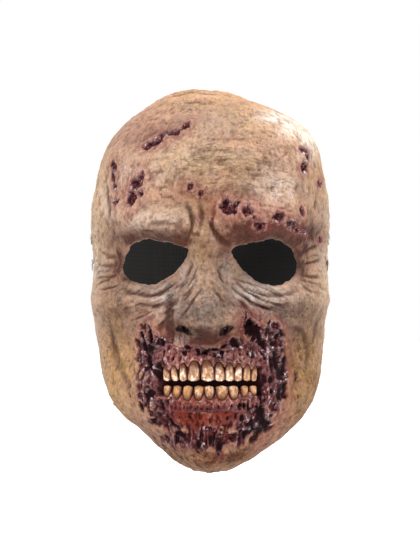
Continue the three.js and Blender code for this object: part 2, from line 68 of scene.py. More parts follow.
def along(column, place):
    # a smooth curve through b and c, between a and d:
    # b + t/2 (c - a + t (2a - 5b + 4c - d + t (3(b - c) + d - a)))
    last = len(column) - 1
    place = np.clip(place, 0, last)
    row = np.minimum(place.astype(int), last - 1)
    a, b, c, d = (column[np.clip(row + k, 0, last)] for k in (-1, 0, 1, 2))
    t = place - row
    return b + 0.5 * t * (c - a + t * (2 * a - 5 * b + 4 * c - d + t * (3 * (b - c) + d - a)))


def tableOf(columns, rows):
    return dict(zip(columns, np.array(rows, float).T))


latticeSize = 32  # cells along each axis before the noise repeats


def valueNoise(points, grain, seed):
    # random values on a lattice of the grain's size, blended by 3t^2 - 2t^3 along each axis, from -1 to 1
    lattice = np.random.default_rng(seed).random((latticeSize,) * 3)
    scaled = points / grain
    cell = np.floor(scaled).astype(int)
    t = scaled - cell
    t = t * t * (3 - 2 * t)
    total = 0
    for corner in np.ndindex(2, 2, 2):
        weight = np.prod(np.where(corner, t, 1 - t), axis=-1)
        i, j, k = np.moveaxis((cell + corner) % latticeSize, -1, 0)
        total = total + weight * lattice[i, j, k]
    return 2 * total - 1


def cloudNoise(points, grain, seed, octaves=3):  # each octave is half as coarse and half as strong
    return sum(valueNoise(points, grain / 2 ** k, seed + k) / 2 ** k for k in range(octaves))


noises = {  # grain in millimetres, seed, octaves
    "drift": (5, 60, 3), "fine": (1.8, 70, 3), "dents": (9, 80, 3), "swell": (22, 85, 2),
    "folds": (3.4, 88, 3), "strands": (4.5, 90, 3), "caves": (5, 95, 4),
    "fleshDrift": (4, 30, 3), "fleshFine": (1.6, 33, 3),
}


def noiseOf(name, points):
    return cloudNoise(points, *noises[name])


def cellNoise(points, grain, seed):
    # the distance to the nearest of one random point in each cell, in grains
    jitter = np.random.default_rng(seed).random((*(latticeSize,) * 3, 3))
    scaled = points / grain
    cell = np.floor(scaled).astype(int)
    nearest = np.full(points.shape[:-1], np.inf)
    for corner in np.ndindex(3, 3, 3):
        there = cell + corner - 1
        i, j, k = np.moveaxis(there % latticeSize, -1, 0)
        nearest = np.minimum(nearest, np.linalg.norm(there + jitter[i, j, k] - scaled, axis=-1))
    return nearest


def ellipseDistance(x, z, row):  # from the middle of a turned oval, 1 on the oval itself
    wide, tall, turn = row[2:5]
    c, s = np.cos(np.radians(turn)), np.sin(np.radians(turn))
    dx, dz = x - row[0], z - row[1]
    return np.hypot((dx * c + dz * s) / wide, (dz * c - dx * s) / tall)


def nearCurve(x, z, start, bend, end, pieces=14):
    # the distance to the curve (1-t)^2 start + 2t(1-t) bend + t^2 end, and t there, by short straight pieces
    t = np.linspace(0, 1, pieces + 1)[:, None]
    path = (1 - t) ** 2 * start + 2 * t * (1 - t) * bend + t ** 2 * end
    best = np.full(x.shape, 1e3)
    place = np.zeros(x.shape)
    for k, (a, b) in enumerate(zip(path[:-1], path[1:])):
        ab = b - a
        share = np.clip(((x - a[0]) * ab[0] + (z - a[1]) * ab[1]) / (ab @ ab), 0, 1)
        distance = np.hypot(x - a[0] - share * ab[0], z - a[1] - share * ab[1])
        place = np.where(distance < best, (k + share) / pieces, place)
        best = np.minimum(best, distance)
    return best, place


def insideDistance(x, z, loop):
    # the distance to a closed outline, negative inside it: its nearest side, and how often a ray crosses it
    best = np.full(x.shape, 1e3)
    crossings = np.zeros(x.shape, int)
    for a, b in zip(loop, np.roll(loop, -1, axis=0)):
        ab = b - a
        share = np.clip(((x - a[0]) * ab[0] + (z - a[1]) * ab[1]) / (ab @ ab), 0, 1)
        best = np.minimum(best, np.hypot(x - a[0] - share * ab[0], z - a[1] - share * ab[1]))
        spans = (a[1] > z) != (b[1] > z)
        reach = a[0] + (z - a[1]) * ab[0] / (ab[1] if ab[1] else 1e-9)
        crossings += spans & (x < reach)
    return np.where(crossings % 2 == 1, -best, best)


def unit(vectors):
    return vectors / np.maximum(np.linalg.norm(vectors, axis=-1, keepdims=True), 1e-9)


def normalsOf(grid):  # across x up, from the steps between neighbours
    return unit(np.cross(np.gradient(grid, axis=1), np.gradient(grid, axis=0)))


def around(count):  # angles once round a ring
    return np.linspace(0, 2 * np.pi, count, endpoint=False)


def standing(loop, y):  # an outline's points in space, all at one y
    return np.stack([loop[:, 0], 0 * loop[:, 0] + y, loop[:, 1]], -1)


def blurred(grid, reach):  # the mean of the square round each cell, twice
    for axis in (0, 1, 0, 1):
        ends = [(reach + 1, reach) if k == axis else (0, 0) for k in (0, 1)]
        total = np.cumsum(np.pad(grid, ends, mode="edge"), axis=axis)
        count = grid.shape[axis]
        high, low = (np.take(total, range(k, k + count), axis=axis) for k in (2 * reach + 1, 0))
        grid = (high - low) / (2 * reach + 1)
    return grid


# Meshes from grids of points.

def addObject(name, data):
    made = bpy.data.objects.new(name, data)
    bpy.context.scene.collection.objects.link(made)
    return made


def newPiece(name, points, faces, layers=None, slot=None, replaced=()):
    mesh = bpy.data.meshes.new(name)
    mesh.from_pydata((points * mm).tolist(), [], faces)
    for layer, values in (layers or {}).items():
        mesh.attributes.new(layer, "FLOAT", "POINT").data.foreach_set("value", values.astype(np.float32))
    mesh.update()
    piece = addObject(name, mesh)
    if slot:
        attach(piece, "root")
        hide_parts(*replaced)
    return piece


def quadsOf(index):
    return np.stack([index[:-1, :-1], index[:-1, 1:], index[1:, 1:], index[1:, :-1]], -1).reshape(-1, 4)


def stitch(outer, inner, finer):
    # joins an outer border to an inner one that has one step for each few of the outer's
    a, b = inner[:-1], inner[1:]
    steps = [outer[k:len(outer) - finer + k:finer] for k in range(finer + 1)]
    middle = finer // 2
    fans = [(steps[k], steps[k + 1], a if k < middle else b) for k in range(finer)]
    fans.append((steps[middle], b, a))
    return np.concatenate([np.stack(fan, -1) for fan in fans])


def shellFaces(rows, columns, finer):
    # an outer grid, and an inner one that is coarser by a whole number, closed into one shell at the border
    outer = np.arange((rows + 1) * (columns + 1)).reshape(rows + 1, columns + 1)
    coarse = (rows // finer + 1, columns // finer + 1)
    inner = outer.size + np.arange(coarse[0] * coarse[1]).reshape(coarse)
    borders = [(outer[-1], inner[-1]), (outer[:, 0], inner[:, 0]), (outer[0, ::-1], inner[0, ::-1])]
    borders.append((outer[::-1, -1], inner[::-1, -1]))
    quads = np.concatenate([quadsOf(outer), quadsOf(inner)[:, ::-1]])
    return quads.tolist() + [t for a, b in borders for t in stitch(a, b, finer).tolist()]


def tubeFaces(rings, sides, offset=0):  # rings of points joined into a closed tube with flat ends
    index = offset + np.arange(rings * sides).reshape(rings, sides)
    turned = np.concatenate([index, index[:, :1]], axis=1)
    return quadsOf(turned).tolist() + [index[0, ::-1].tolist(), index[-1].tolist()]


def smoothShade(piece, sharpDegrees):
    piece.data.shade_smooth()
    piece.data.set_sharp_from_angle(angle=np.radians(sharpDegrees))


# Shader maths. A Wire is a socket that can be added and multiplied, and a Paint is a material made of Wires.

class Wire:
    def __init__(self, paint, socket):
        self.paint, self.socket = paint, socket

    def math(self, operation, first, second):
        return self.paint.node("ShaderNodeMath", {"operation": operation}, {0: first, 1: second})

    def __add__(self, other):
        return self.math("ADD", self, other)

    def __sub__(self, other):
        return self.math("SUBTRACT", self, other)

    def __rsub__(self, other):
        return self.math("SUBTRACT", other, self)

    def __mul__(self, other):
        return self.math("MULTIPLY", self, other)

    __radd__ = __add__
    __rmul__ = __mul__


class Paint:
    def __init__(self, name, **constants):
        self.material = bpy.data.materials.new(name)
        self.material.use_nodes = True
        self.tree = self.material.node_tree
        self.shader = self.tree.nodes["Principled BSDF"]
        self.set(**constants)

    def set(self, **values):  # camelCase names stand for the shader's own sockets
        for name, value in values.items():
            words = "".join(" " + c if c.isupper() else c for c in name).title()
            self.link(self.shader.inputs[words.replace("Ior", "IOR")], value)

    def link(self, socket, value):
        if isinstance(value, Wire):
            self.tree.links.new(value.socket, socket)
        elif socket.type == "RGBA" and len(value) == 3:
            socket.default_value = (*value, 1)
        else:
            socket.default_value = value

    def node(self, kind, settings=None, sockets=None, out=0):
        made = self.tree.nodes.new(kind)
        for name, value in (settings or {}).items():
            setattr(made, name, value)
        for name, value in (sockets or {}).items():
            self.link(made.inputs[name], value)
        return Wire(self, made.outputs[out])

    def layer(self, name):
        return self.node("ShaderNodeAttribute", {"attribute_name": name}, out="Fac")

    def place(self, stretch=(1, 1, 1), turn=0):  # turned about Y by so many degrees, then stretched
        sockets = {"Vector": self.node("ShaderNodeTexCoord", out="Object")}
        sockets |= {"Scale": tuple(1 / s for s in stretch), "Rotation": (0, np.radians(turn), 0)}
        return self.node("ShaderNodeMapping", {"vector_type": "TEXTURE"}, sockets)

    def cloud(self, grain, detail=4, rough=0.55, stretch=(1, 1, 1), turn=0, warp=0):  # grain in mm
        sockets = {"Vector": self.place(stretch, turn), "Scale": 1 / (grain * mm)}
        sockets |= {"Detail": detail, "Roughness": rough, "Distortion": warp}
        return self.node("ShaderNodeTexNoise", {}, sockets, "Fac")

    def patches(self, grain, ends, detail=4, rough=0.55, **options):  # a cloud, stepped between two ends
        return self.step(self.cloud(grain, detail, rough, **options), *ends)

    def cells(self, grain):  # the distance to the nearest of one random point in each cell
        return self.node("ShaderNodeTexVoronoi", {}, {"Vector": self.place(), "Scale": 1 / (grain * mm)})

    def curve(self, operation, value):
        return self.node("ShaderNodeMath", {"operation": operation}, {0: value})

    def threads(self, thin, grain, detail=4, **options):  # fine lines where a cloud is near its middle value
        veil = self.curve("ABSOLUTE", self.cloud(grain, detail, **options) - 0.5)
        return 1 - self.step(veil, 0, thin)

    def step(self, value, low, high):  # 0 below low and 1 above high, eased between them
        sockets = {"Value": value, "From Min": low, "From Max": high}
        return self.node("ShaderNodeMapRange", {"interpolation_type": "SMOOTHSTEP"}, sockets)

    def mix(self, factor, first, second, blend="MIX"):
        settings = {"data_type": "RGBA", "blend_type": blend}
        return self.node("ShaderNodeMix", settings, {0: factor, 6: first, 7: second}, 2)

    def coats(self, colour, *coats):  # tones over a colour, from the bottom up: how much, and which
        for factor, name in coats:
            colour = self.mix(factor, colour, tone[name])
        return colour

    def bump(self, height, depth, strength):  # depth in millimetres
        sockets = {"Height": height, "Distance": depth * mm, "Strength": strength}
        return self.node("ShaderNodeBump", {}, sockets)


# The face's form, from the size of the frame's skin. Lengths in the tables are shares of the half width, the
# height and the reach, which is the brow's in front of the cut edge.

skinLow, skinHigh = boxOf("face_skin")
face = {
    "halfWidth": skinHigh[0],
    "height": 0.995 * (skinHigh[2] - skinLow[2]),
    "reach": -0.813 * skinLow[1],  # the nose stands further out
    "wall": 2.2,
    "gap": 0.35,
    "biteDrop": 75.5,
    "mouthRise": 2.5,
}
chinLevel = skinHigh[2] - face["height"]

sections = tableOf(("level", "half", "shift", "front", "rim", "round"), (
    (0.005, 0.02, 0.01, 0.43, 0.415, 2), (0.002, 0.09, 0.01, 0.55, 0.41, 2),
    (0, 0.15, 0.01, 0.67, 0.405, 2), (0.005, 0.21, 0.01, 0.775, 0.4, 2),
    (0.014, 0.265, 0.012, 0.85, 0.39, 2), (0.03, 0.355, 0.022, 0.915, 0.37, 2.05),
    (0.055, 0.465, 0.035, 0.955, 0.335, 2.1), (0.085, 0.59, 0.045, 0.97, 0.28, 2.15),
    (0.12, 0.698, 0.045, 0.975, 0.22, 2.15), (0.165, 0.815, 0.03, 0.975, 0.15, 2.2),
    (0.21, 0.89, 0.015, 0.98, 0.08, 2.2), (0.255, 0.927, 0.01, 0.98, 0.03, 2.2),
    (0.3, 0.944, 0.008, 0.975, 0, 2.2), (0.345, 0.955, 0.004, 0.965, 0, 2.2),
    (0.39, 0.975, 0, 0.96, 0, 2.2), (0.44, 1, 0, 0.96, 0, 2.2), (0.5, 0.985, 0, 0.965, 0, 2.2),
    (0.56, 0.985, 0, 0.98, 0, 2.25), (0.62, 0.995, 0, 1, 0, 2.3), (0.68, 0.993, 0.003, 1, 0, 2.35),
    (0.74, 0.96, 0.005, 0.975, 0, 2.35), (0.8, 0.922, 0.01, 0.92, 0, 2.35),
    (0.85, 0.87, 0.022, 0.845, 0, 2.3), (0.895, 0.77, 0.03, 0.735, 0, 2.25),
    (0.935, 0.615, 0.012, 0.58, 0, 2.2), (0.967, 0.41, -0.045, 0.42, 0, 2.15),
    (0.987, 0.26, -0.07, 0.26, 0, 2.1), (0.998, 0.12, -0.085, 0.11, 0, 2), (1, 0.02, -0.095, 0.02, 0, 2),
))
lowestSection = 2

lumps = (  # across, level, wide, tall, out, turn, both sides
    (-0.04, 0.6, 0.15, 0.12, 0.05, 0, False),  # brow between the eyes
    (0.45, 0.64, 0.26, 0.095, 0.095, 8, True),  # brow ridge
    (-0.27, 0.628, 0.1, 0.08, 0.04, 0, False),  # inner end of the right brow
    (0.14, 0.612, 0.09, 0.09, 0.045, -20, False),  # inner end of the left brow, lower
    (-0.14, 0.615, 0.04, 0.14, -0.035, -22, False),  # furrows beside them
    (0.02, 0.62, 0.035, 0.12, -0.045, 18, False),
    (0.3, 0.76, 0.3, 0.22, 0.025, 0, True),  # forehead boss
    (0.05, 0.69, 0.5, 0.05, -0.02, 0, False),  # hollow over the brows
    (0.85, 0.62, 0.12, 0.32, -0.04, 0, True),  # temple hollow
    (0.46, 0.53, 0.27, 0.17, -0.125, 0, True),  # eye socket
    (0.47, 0.45, 0.25, 0.055, 0.04, -6, True),  # bag under the eye
    (0.45, 0.41, 0.22, 0.04, -0.02, -12, True),  # hollow under the bag
    (0.76, 0.43, 0.17, 0.14, 0.06, 12, True),  # cheekbone
    (0.42, 0.385, 0.12, 0.1, 0.04, 30, True),  # cheek beside the nose
    (0.36, 0.33, 0.2, 0.05, -0.045, -50, True),  # crease from nose to mouth
    (0.56, 0.28, 0.07, 0.28, 0.03, -8, True),  # fold outside the mouth
    (0.7, 0.3, 0.15, 0.2, -0.07, 0, True),  # cheek hollow
    (0.02, 0.23, 0.45, 0.3, 0.035, 0, False),  # muzzle
    (0.02, 0.09, 0.35, 0.035, -0.02, 0, False),  # hollow over the chin
    (0.02, 0.045, 0.2, 0.1, 0.04, 0, False),  # chin pad
    (0.75, 0.17, 0.16, 0.16, 0.03, 0, True),  # jaw corner
)

nose = {"length": 63, "width": 43, "reach": 26, "top": 15, "across": -3, "flat": 1.35, "wings": 0.78}
noseSections = tableOf(("up", "rise", "wide"), (
    (-0.05, 0, 0.44), (0.02, 0.42, 0.46), (0.08, 0.85, 0.49), (0.16, 1, 0.5), (0.28, 0.95, 0.48),
    (0.4, 0.8, 0.42), (0.56, 0.62, 0.36), (0.72, 0.46, 0.33), (0.88, 0.3, 0.35), (1.04, 0.12, 0.45),
    (1.2, 0, 0.55),
))
noseWings = ((-1, 0.2, 0.5, 0.22, 0.1), (1, 0.2, 0.47, 0.2, 0.1))  # side, up, rise, wide, tall


def headForm(u, place):
    # x = shift + half |sin a|^(2/n), y = -rim - (front - rim) cos a^(2/n), with a = 90 degrees times u
    angle = u * np.pi / 2
    power = 2 / along(sections["round"], place)
    rim, front = (along(sections[name], place) * face["reach"] for name in ("rim", "front"))
    half, shift = (along(sections[name], place) * face["halfWidth"] for name in ("half", "shift"))
    x = shift + half * signedPower(np.sin(angle), power)
    y = -rim - (front - rim) * np.maximum(np.cos(angle), 0) ** power
    return np.stack([x, y, chinLevel + face["height"] * along(sections["level"], place)], -1)


def lumpRelief(x, z):  # a sum of turned bells, each as wide and as tall as its row says
    out, half = 0, face["halfWidth"]
    for across, level, wide, tall, rise, turn, both in lumps:
        for side in (-1, 1) if both else (1,):
            middle = (side * across * half, chinLevel + level * face["height"])
            distance = ellipseDistance(x, z, (*middle, wide * half, tall * half, side * turn))
            out = out + rise * face["reach"] * bell(distance)
    return out


def noseRelief(x, z):  # the rise up the nose, times a flattened bell across it, and a bell for each wing
    up = (z - nose["top"] + nose["length"]) / nose["length"]
    ups = noseSections["up"]
    fine = np.linspace(0, len(ups) - 1, 400)
    place = np.interp(up, along(ups, fine), fine)
    across = (x - nose["across"]) / (nose["width"] / 2)
    width = along(noseSections["wide"], place)
    out = along(noseSections["rise"], place) * bell(np.abs(across / width) ** nose["flat"])
    for side, wingUp, rise, wide, tall in noseWings:
        over = smooth(ups[0], wingUp, up) * bell((up - wingUp) / tall)
        out = out + rise * over * bell((across - side * nose["wings"]) / wide)
    return np.where((up < ups[0]) | (up > ups[-1]), 0, np.maximum(out, 0) * nose["reach"])


def facePoints(u, place):  # the form with its lumps, which die out towards the cut edge
    form = headForm(u, place)
    fade = 1 - smooth(0.72, 0.96, np.abs(u))
    return form + normalsOf(form) * (lumpRelief(form[..., 0], form[..., 2]) * fade)[..., None], fade


# Holes: closed outlines in shares of each hole's half width and half height, with a torn edge.

def outlineOf(table, hole, mirror=1):
    # a smooth closed curve through the points, pushed in and out by noise along its own length
    points = np.array(table) * (mirror * hole["width"] / 2, hole["height"] / 2)
    looped = np.concatenate([points[-1:], points, points[:2]])
    place = 1 + np.linspace(0, len(points), hole["steps"], endpoint=False)
    loop = np.stack([along(looped[:, 0], place), along(looped[:, 1], place)], -1)
    loop += (hole["x"], hole["z"])
    ragged = hole["ragged"] * cloudNoise(standing(loop, 0), hole["tear"], hole["seed"])
    loop += unit(loop - loop.mean(axis=0)) * ragged[:, None]
    return loop[::mirror]


eyeTable = (
    (-1, 0.52), (-0.72, 0.72), (-0.3, 0.86), (0.15, 1), (0.55, 0.88), (0.85, 0.42),
    (1, -0.2), (0.82, -0.72), (0.4, -0.98), (0, -0.95), (-0.45, -0.62), (-0.82, -0.05),
)
mouthTable = (
    (-0.97, 0.25), (-0.88, 0.9), (-0.68, 1.1), (-0.46, 0.94), (-0.24, 1.02), (0, 0.9), (0.22, 0.98),
    (0.42, 1), (0.62, 1.14), (0.86, 0.98), (0.98, 0.3), (1.02, -0.35), (0.88, -0.86), (0.55, -1),
    (0.15, -0.94), (-0.3, -1.02), (-0.72, -0.92), (-0.98, -0.5),
)
eyeHole = {"across": 34.5, "width": 42, "height": 29, "z": 0, "steps": 130, "ragged": 0.7, "tear": 3.2}
mouthHole = {
    "x": 0, "z": face["mouthRise"] - face["biteDrop"], "width": 76, "height": 41, "steps": 220,
    "ragged": 0.9, "tear": 5, "seed": 5,
}
eyeLoops = [
    outlineOf(eyeTable, {**eyeHole, "x": side * eyeHole["across"], "seed": 20 + side}, side)
    for side in (-1, 1)
]
mouthLoop = outlineOf(mouthTable, mouthHole)
print("outlines made")


# The skin. Its own marks are creases, wounds and patches of raw flesh, in millimetres on the face's front.

creases = (  # start, bend, end, width, depth, ridge beside it
    ((-15, 36), (-6, 24), (-15, 12), 1.3, 1.6, 0.7),  # round the right brow's inner end
    ((-6.5, 35), (-1.5, 22), (-12, 9), 1.1, 1.3, 0.6),
    ((-1, 28), (1.5, 16), (12, 11), 1.3, 1.7, 0.8),  # round the left brow's inner end
    ((3, 36), (2, 28), (1.5, 20), 1, 0.9, 0.4),
    ((-12, 19), (-3, 14), (5, 18), 0.9, 0.7, 0.4),  # across the root of the nose
    ((-15, 9), (-8, 16), (-6, 27), 0.9, 0.9, 0.5),
    ((-58, 4), (-64, 2), (-71, 8), 0.9, 0.8, 0.4),  # beside the outer corners of the eyes
    ((-58, -1), (-65, -3), (-72, -1), 0.9, 0.8, 0.4),
    ((-57, -6), (-63, -11), (-70, -13), 0.9, 0.8, 0.4),
    ((55, 3), (62, 8), (69, 12), 0.9, 0.8, 0.4),
    ((56, -2), (63, -1), (70, 2), 0.9, 0.8, 0.4),
    ((55, -8), (62, -10), (70, -9), 0.9, 0.8, 0.4),
    ((-55, -17), (-36, -27), (-14, -12), 1.1, 1.1, 0.7),  # under the eyes
    ((-50, -23), (-34, -31), (-19, -24), 1, 0.8, 0.5),
    ((14, -12), (34, -27), (54, -18), 1.1, 1.1, 0.7),
    ((20, -24), (35, -32), (50, -24), 1, 0.8, 0.5),
    ((-17, -20), (-25, -33), (-42, -38), 1, 0.8, 0.5),  # over the cheeks, away from the nose
    ((-14, -12), (-22, -25), (-46, -34), 0.9, 0.7, 0.4),
    ((13, -15), (22, -27), (44, -32), 0.9, 0.7, 0.4),
    ((16, -22), (26, -33), (42, -40), 1, 0.8, 0.5),
    ((-23, -25), (-27, -38), (-38, -50), 1.5, 1.6, 0.8),  # from the nose to the corners of the mouth
    ((19, -26), (27, -36), (40, -46), 1.5, 1.4, 0.8),
    ((-62, -35), (-60, -62), (-46, -90), 2.4, 0.8, 0.4),  # down the cheeks and jaws
    ((-69, -30), (-63, -52), (-57, -70), 1.9, 0.6, 0.3),
    ((-52, -46), (-55, -60), (-46, -72), 1.6, 0.5, 0.3),
    ((52, -42), (64, -40), (60, -66), 1.9, 1.5, 0.9),
    ((68, -38), (64, -60), (55, -82), 1.8, 0.8, 0.4),
    ((55, -48), (60, -62), (50, -84), 1.5, 0.9, 0.5),
    ((-64, 44), (-58, 26), (-63, 8), 1.8, 0.6, 0.3),  # down the temples
    ((66, 40), (62, 28), (66, 12), 1.8, 0.6, 0.3),
    ((-40, 22), (-28, 27), (-17, 21), 0.9, 0.6, 0.4),  # over the lids
    ((14, 20), (26, 26), (44, 21), 0.9, 0.6, 0.4),
)

# count, the first and last path's starts, their ends, bow, share of its path that each covers, width, depth
wrinkles = (
    (20, (-26, 38), (-22, 78), (54, 36), (50, 76), (2, 9), (0.4, 0.9), 0.34, 0.22),  # forehead
    (6, (-56, 34), (-50, 66), (-14, 34), (-20, 64), (0, 4), (0.2, 0.5), 0.5, 0.25),
    (16, (-12, -3), (-16, -26), (-58, -20), (-46, -48), (0, -4), (0.3, 0.8), 0.45, 0.6),  # under the eyes
    (16, (7, -3), (12, -26), (56, -20), (44, -46), (0, -4), (0.3, 0.8), 0.45, 0.6),
    (8, (-56, 9), (-55, -13), (-75, 18), (-73, -22), (0, 1), (0.4, 0.9), 0.5, 0.6),  # outside the eyes
    (8, (55, 9), (54, -13), (75, 18), (73, -22), (0, 1), (0.4, 0.9), 0.5, 0.6),
    (7, (-70, -20), (-50, -38), (-60, -90), (-44, -84), (-4, 0), (0.15, 0.4), 0.6, 0.22),  # cheeks
    (7, (72, -20), (52, -34), (60, -90), (48, -88), (4, 0), (0.15, 0.4), 0.6, 0.25),
    (4, (-74, 60), (-62, 56), (-72, 10), (-62, 18), (3, 0), (0.15, 0.4), 0.6, 0.35),  # temples
    (5, (74, 60), (62, 56), (73, 10), (63, 18), (-3, 0), (0.15, 0.4), 0.6, 0.35),
    (6, (-58, 14), (-50, 34), (-18, 15), (-20, 34), (0, 6), (0.2, 0.5), 0.55, 0.35),  # brows
    (8, (4, 15), (2, 34), (60, 12), (56, 30), (0, 6), (0.2, 0.5), 0.5, 0.45),
    (13, (-5, 6), (-4, -20), (-15, -12), (-19, -36), (-1, 1), (0.3, 0.8), 0.45, 0.5),  # sides of the nose
    (13, (0, 6), (0, -20), (10, -12), (13, -34), (1, 1), (0.3, 0.8), 0.45, 0.5),
    (10, (-18, -12), (-24, -24), (-36, -34), (-32, -42), (0, 1), (0.3, 0.8), 0.45, 0.5),  # beside the nose
    (10, (14, -12), (20, -24), (34, -32), (30, -40), (0, 1), (0.3, 0.8), 0.45, 0.5),
    (14, (-24, -41), (19, -41), (-25, -54), (20, -54), (0, 0), (0.5, 1), 0.5, 0.6),  # upper lip
    (10, (-32, -106), (-18, -124), (32, -106), (22, -124), (0, -4), (0.15, 0.4), 0.5, 0.5),  # chin
    (6, (-50, 88), (-20, 106), (52, 86), (20, 106), (0, 4), (0.1, 0.3), 0.5, 0.3),  # crown
)

wounds = (  # x, z, wide, tall, turn, depth
    # long gash on the forehead
    (-35.5, 74, 5.6, 2.5, 20, 2), (-29, 79.5, 4.4, 1.9, 25, 2), (-22.5, 80.5, 4.6, 2.1, 12, 2.2),
    (-15.5, 84.5, 4.4, 1.8, 42, 2),
    # chain at the temple
    (-60.5, 61, 1.8, 3.6, 10, 1.2), (-61, 54, 1.5, 3.2, 8, 1.2), (-59.5, 47, 1.3, 2.6, 20, 0.9),
    (-58, 38, 2.6, 2, 0, 1.6),
    # deep one over the brow
    (-45, 48.5, 3.4, 6.2, -22, 3), (-47.5, 40, 3.6, 5.2, -10, 2.8), (-42.5, 42.5, 2.1, 2.5, 0, 1.6),
    (-12.3, 46, 2.9, 2.5, 0, 2), (-6, 42.5, 1.7, 2.2, 0, 1.4), (-7.5, 26.5, 1, 1.9, 0, 1),
    (1.2, 26.2, 0.8, 1, 0, 0.8),
    # cluster over the left brow
    (11.5, 33.5, 5.6, 4.3, -15, 2.7), (17, 36.5, 2.2, 1.8, 0, 1.5), (23.5, 31.5, 4.4, 4, 0, 2.2),
    (27.5, 27.5, 1.6, 1.4, 0, 1.3), (31, 22.5, 3.4, 2.3, 10, 2.2), (42.5, 28, 3.4, 2.8, 0, 2.2),
    (50.5, 24, 3.4, 2.5, -30, 1.9), (54, 20.5, 3, 1.5, -30, 1.6), (59, 18.5, 2.5, 1, -35, 1.1),
    (57, 31.5, 1.5, 2.7, 15, 1.6),
    # gash at the left temple
    (59.5, 71, 3, 1.7, -20, 1.5), (61.5, 67, 1.6, 3.2, 12, 1.8), (59, 60, 1.8, 3.6, 0, 2.4),
    (70, 51, 1.3, 2.6, 0, 0.8), (70.5, 14.5, 1.1, 2.4, 0, 0.8),
    # slits round the mouth, right side first
    (-36.8, -44.5, 1.2, 6, 8, 2), (-41.5, -49, 1.6, 5, 10, 2), (-40.5, -57, 1.7, 4.5, -10, 2.2),
    (-43, -83.5, 1.8, 3.2, 15, 1.5), (-39, -66, 2.2, 3.8, -12, 2.2), (-37, -76, 2.4, 4.2, -15, 2.4),
    (-34, -86, 2.2, 3.4, -30, 2), (-27, -97, 1.6, 5.2, 40, 1.8), (-21, -103, 1.5, 4.6, 45, 1.8),
    (-31.5, -50.5, 2.7, 4.6, 12, 2.6), (-15, -54, 3, 1.9, 0, 2), (23.5, -38, 3.4, 6, 30, 3.4),
    (27.5, -44, 4.6, 8, 28, 3.6), (31.5, -52, 3.4, 7, 25, 3.2), (15, -50.5, 3.3, 2.7, 20, 2.4),
    (41, -40, 2.8, 2.6, 0, 2), (43, -51, 2.6, 4.2, 0, 2.4), (42.5, -61, 2.4, 4, 0, 2.2),
    (45, -70, 2.6, 4.6, 0, 2.6), (43.5, -80.5, 2.8, 4.8, 0, 2.6), (39.5, -90, 3, 3.6, 20, 2.2),
    (29.5, -95, 5, 4.6, 0, 3), (21.5, -101, 3.2, 3, 0, 2.2), (35, -101, 3, 3.2, 0, 2),
    (-6, -110, 1.5, 4.6, -12, 2.6), (5.5, -113, 1.8, 5, -8, 2.8), (-16.5, -111.5, 4.2, 2.6, -20, 2),
    (15, -109, 3.2, 2.5, 15, 1.8), (-1, -104, 4.4, 1.6, 10, 1.2),
)

slits = (  # x, z, wide, tall, turn: shallow tears painted black as the shade in their depths
    # gash beside the nose
    (25, -41, 4.4, 8.6, 33), (31, -50, 1.9, 6.8, 30),
    # upper lip
    (-29.6, -49, 1.5, 3.2, 8), (-14, -52.5, 2.2, 1.4, -20), (-2.5, -55.4, 3, 1, 32), (3, -54.2, 3, 0.8, 0),
    (9, -52, 3.2, 1.1, 28), (15.4, -50.4, 1.7, 4, 35),
    # right side of the mouth
    (-36.7, -47, 0.9, 5, 4), (-42, -45.5, 0.8, 2.4, 0), (-40.5, -54, 1.6, 5, 12), (-38, -63, 1.7, 4, 25),
    (-33, -69.5, 1.6, 3.2, 30), (-36.7, -82, 2.2, 3, 0), (-43, -90, 1.1, 3.6, 20),
    (-29.6, -89.3, 1.5, 3.6, 15), (-24.6, -99, 1.4, 4.6, 35), (-19, -107, 3, 1.6, -25),
    (-7.6, -113, 1.6, 3.2, 0), (0.2, -110, 1.1, 2.8, -5), (5.8, -114.5, 1.6, 4.2, -10),
    # left side
    (42, -47, 1.5, 2, 0), (39.8, -51, 2.4, 1.5, 0), (41.2, -62, 1.7, 6, 8), (44, -69.5, 1.3, 4.6, 0),
    (37.7, -73, 1.6, 3, 0), (44, -82, 1.5, 4.4, -8), (38.4, -80.5, 1.3, 2, 0), (46.5, -66, 1.5, 7, -4),
    (31.3, -95, 3.2, 5, 10), (34.5, -102, 2.6, 3.4, 20), (27.5, -111, 2.6, 1.8, 15), (47, -80, 1.3, 5, -6),
    (25.6, -100, 2.2, 2.4, 0), (20, -97, 1.4, 2.4, 0), (10.8, -97, 1.4, 1.2, 0), (31, -105.5, 2.2, 2, 0),
    (22, -107, 2.1, 1.4, 0),
)
nostrilShades = (  # nostrils, and the crease beside the left wing of the nose
    (-17, -41.5, 4.6, 1.8, -18),
    (10.5, -41.2, 4.4, 1.8, 18),
    (20.3, -38.5, 0.9, 5, 12),
)

rawPatches = (  # x, z, wide, tall, turn
    (-40, -56, 6, 15, 4), (-37.5, -78, 7, 15, -6), (-28, -95, 9.5, 9.5, -40), (-4, -99, 26, 8.5, 0),
    (-3, -110, 25, 7.5, 0), (26, -98, 14, 12, 20), (41.5, -74, 7, 21, 0), (37.5, -50, 8.5, 13, 12),
    (15, -50, 7.5, 5.5, 0), (-29, -51, 6.5, 6.5, 0), (0, -73, 41, 23, 0),
)

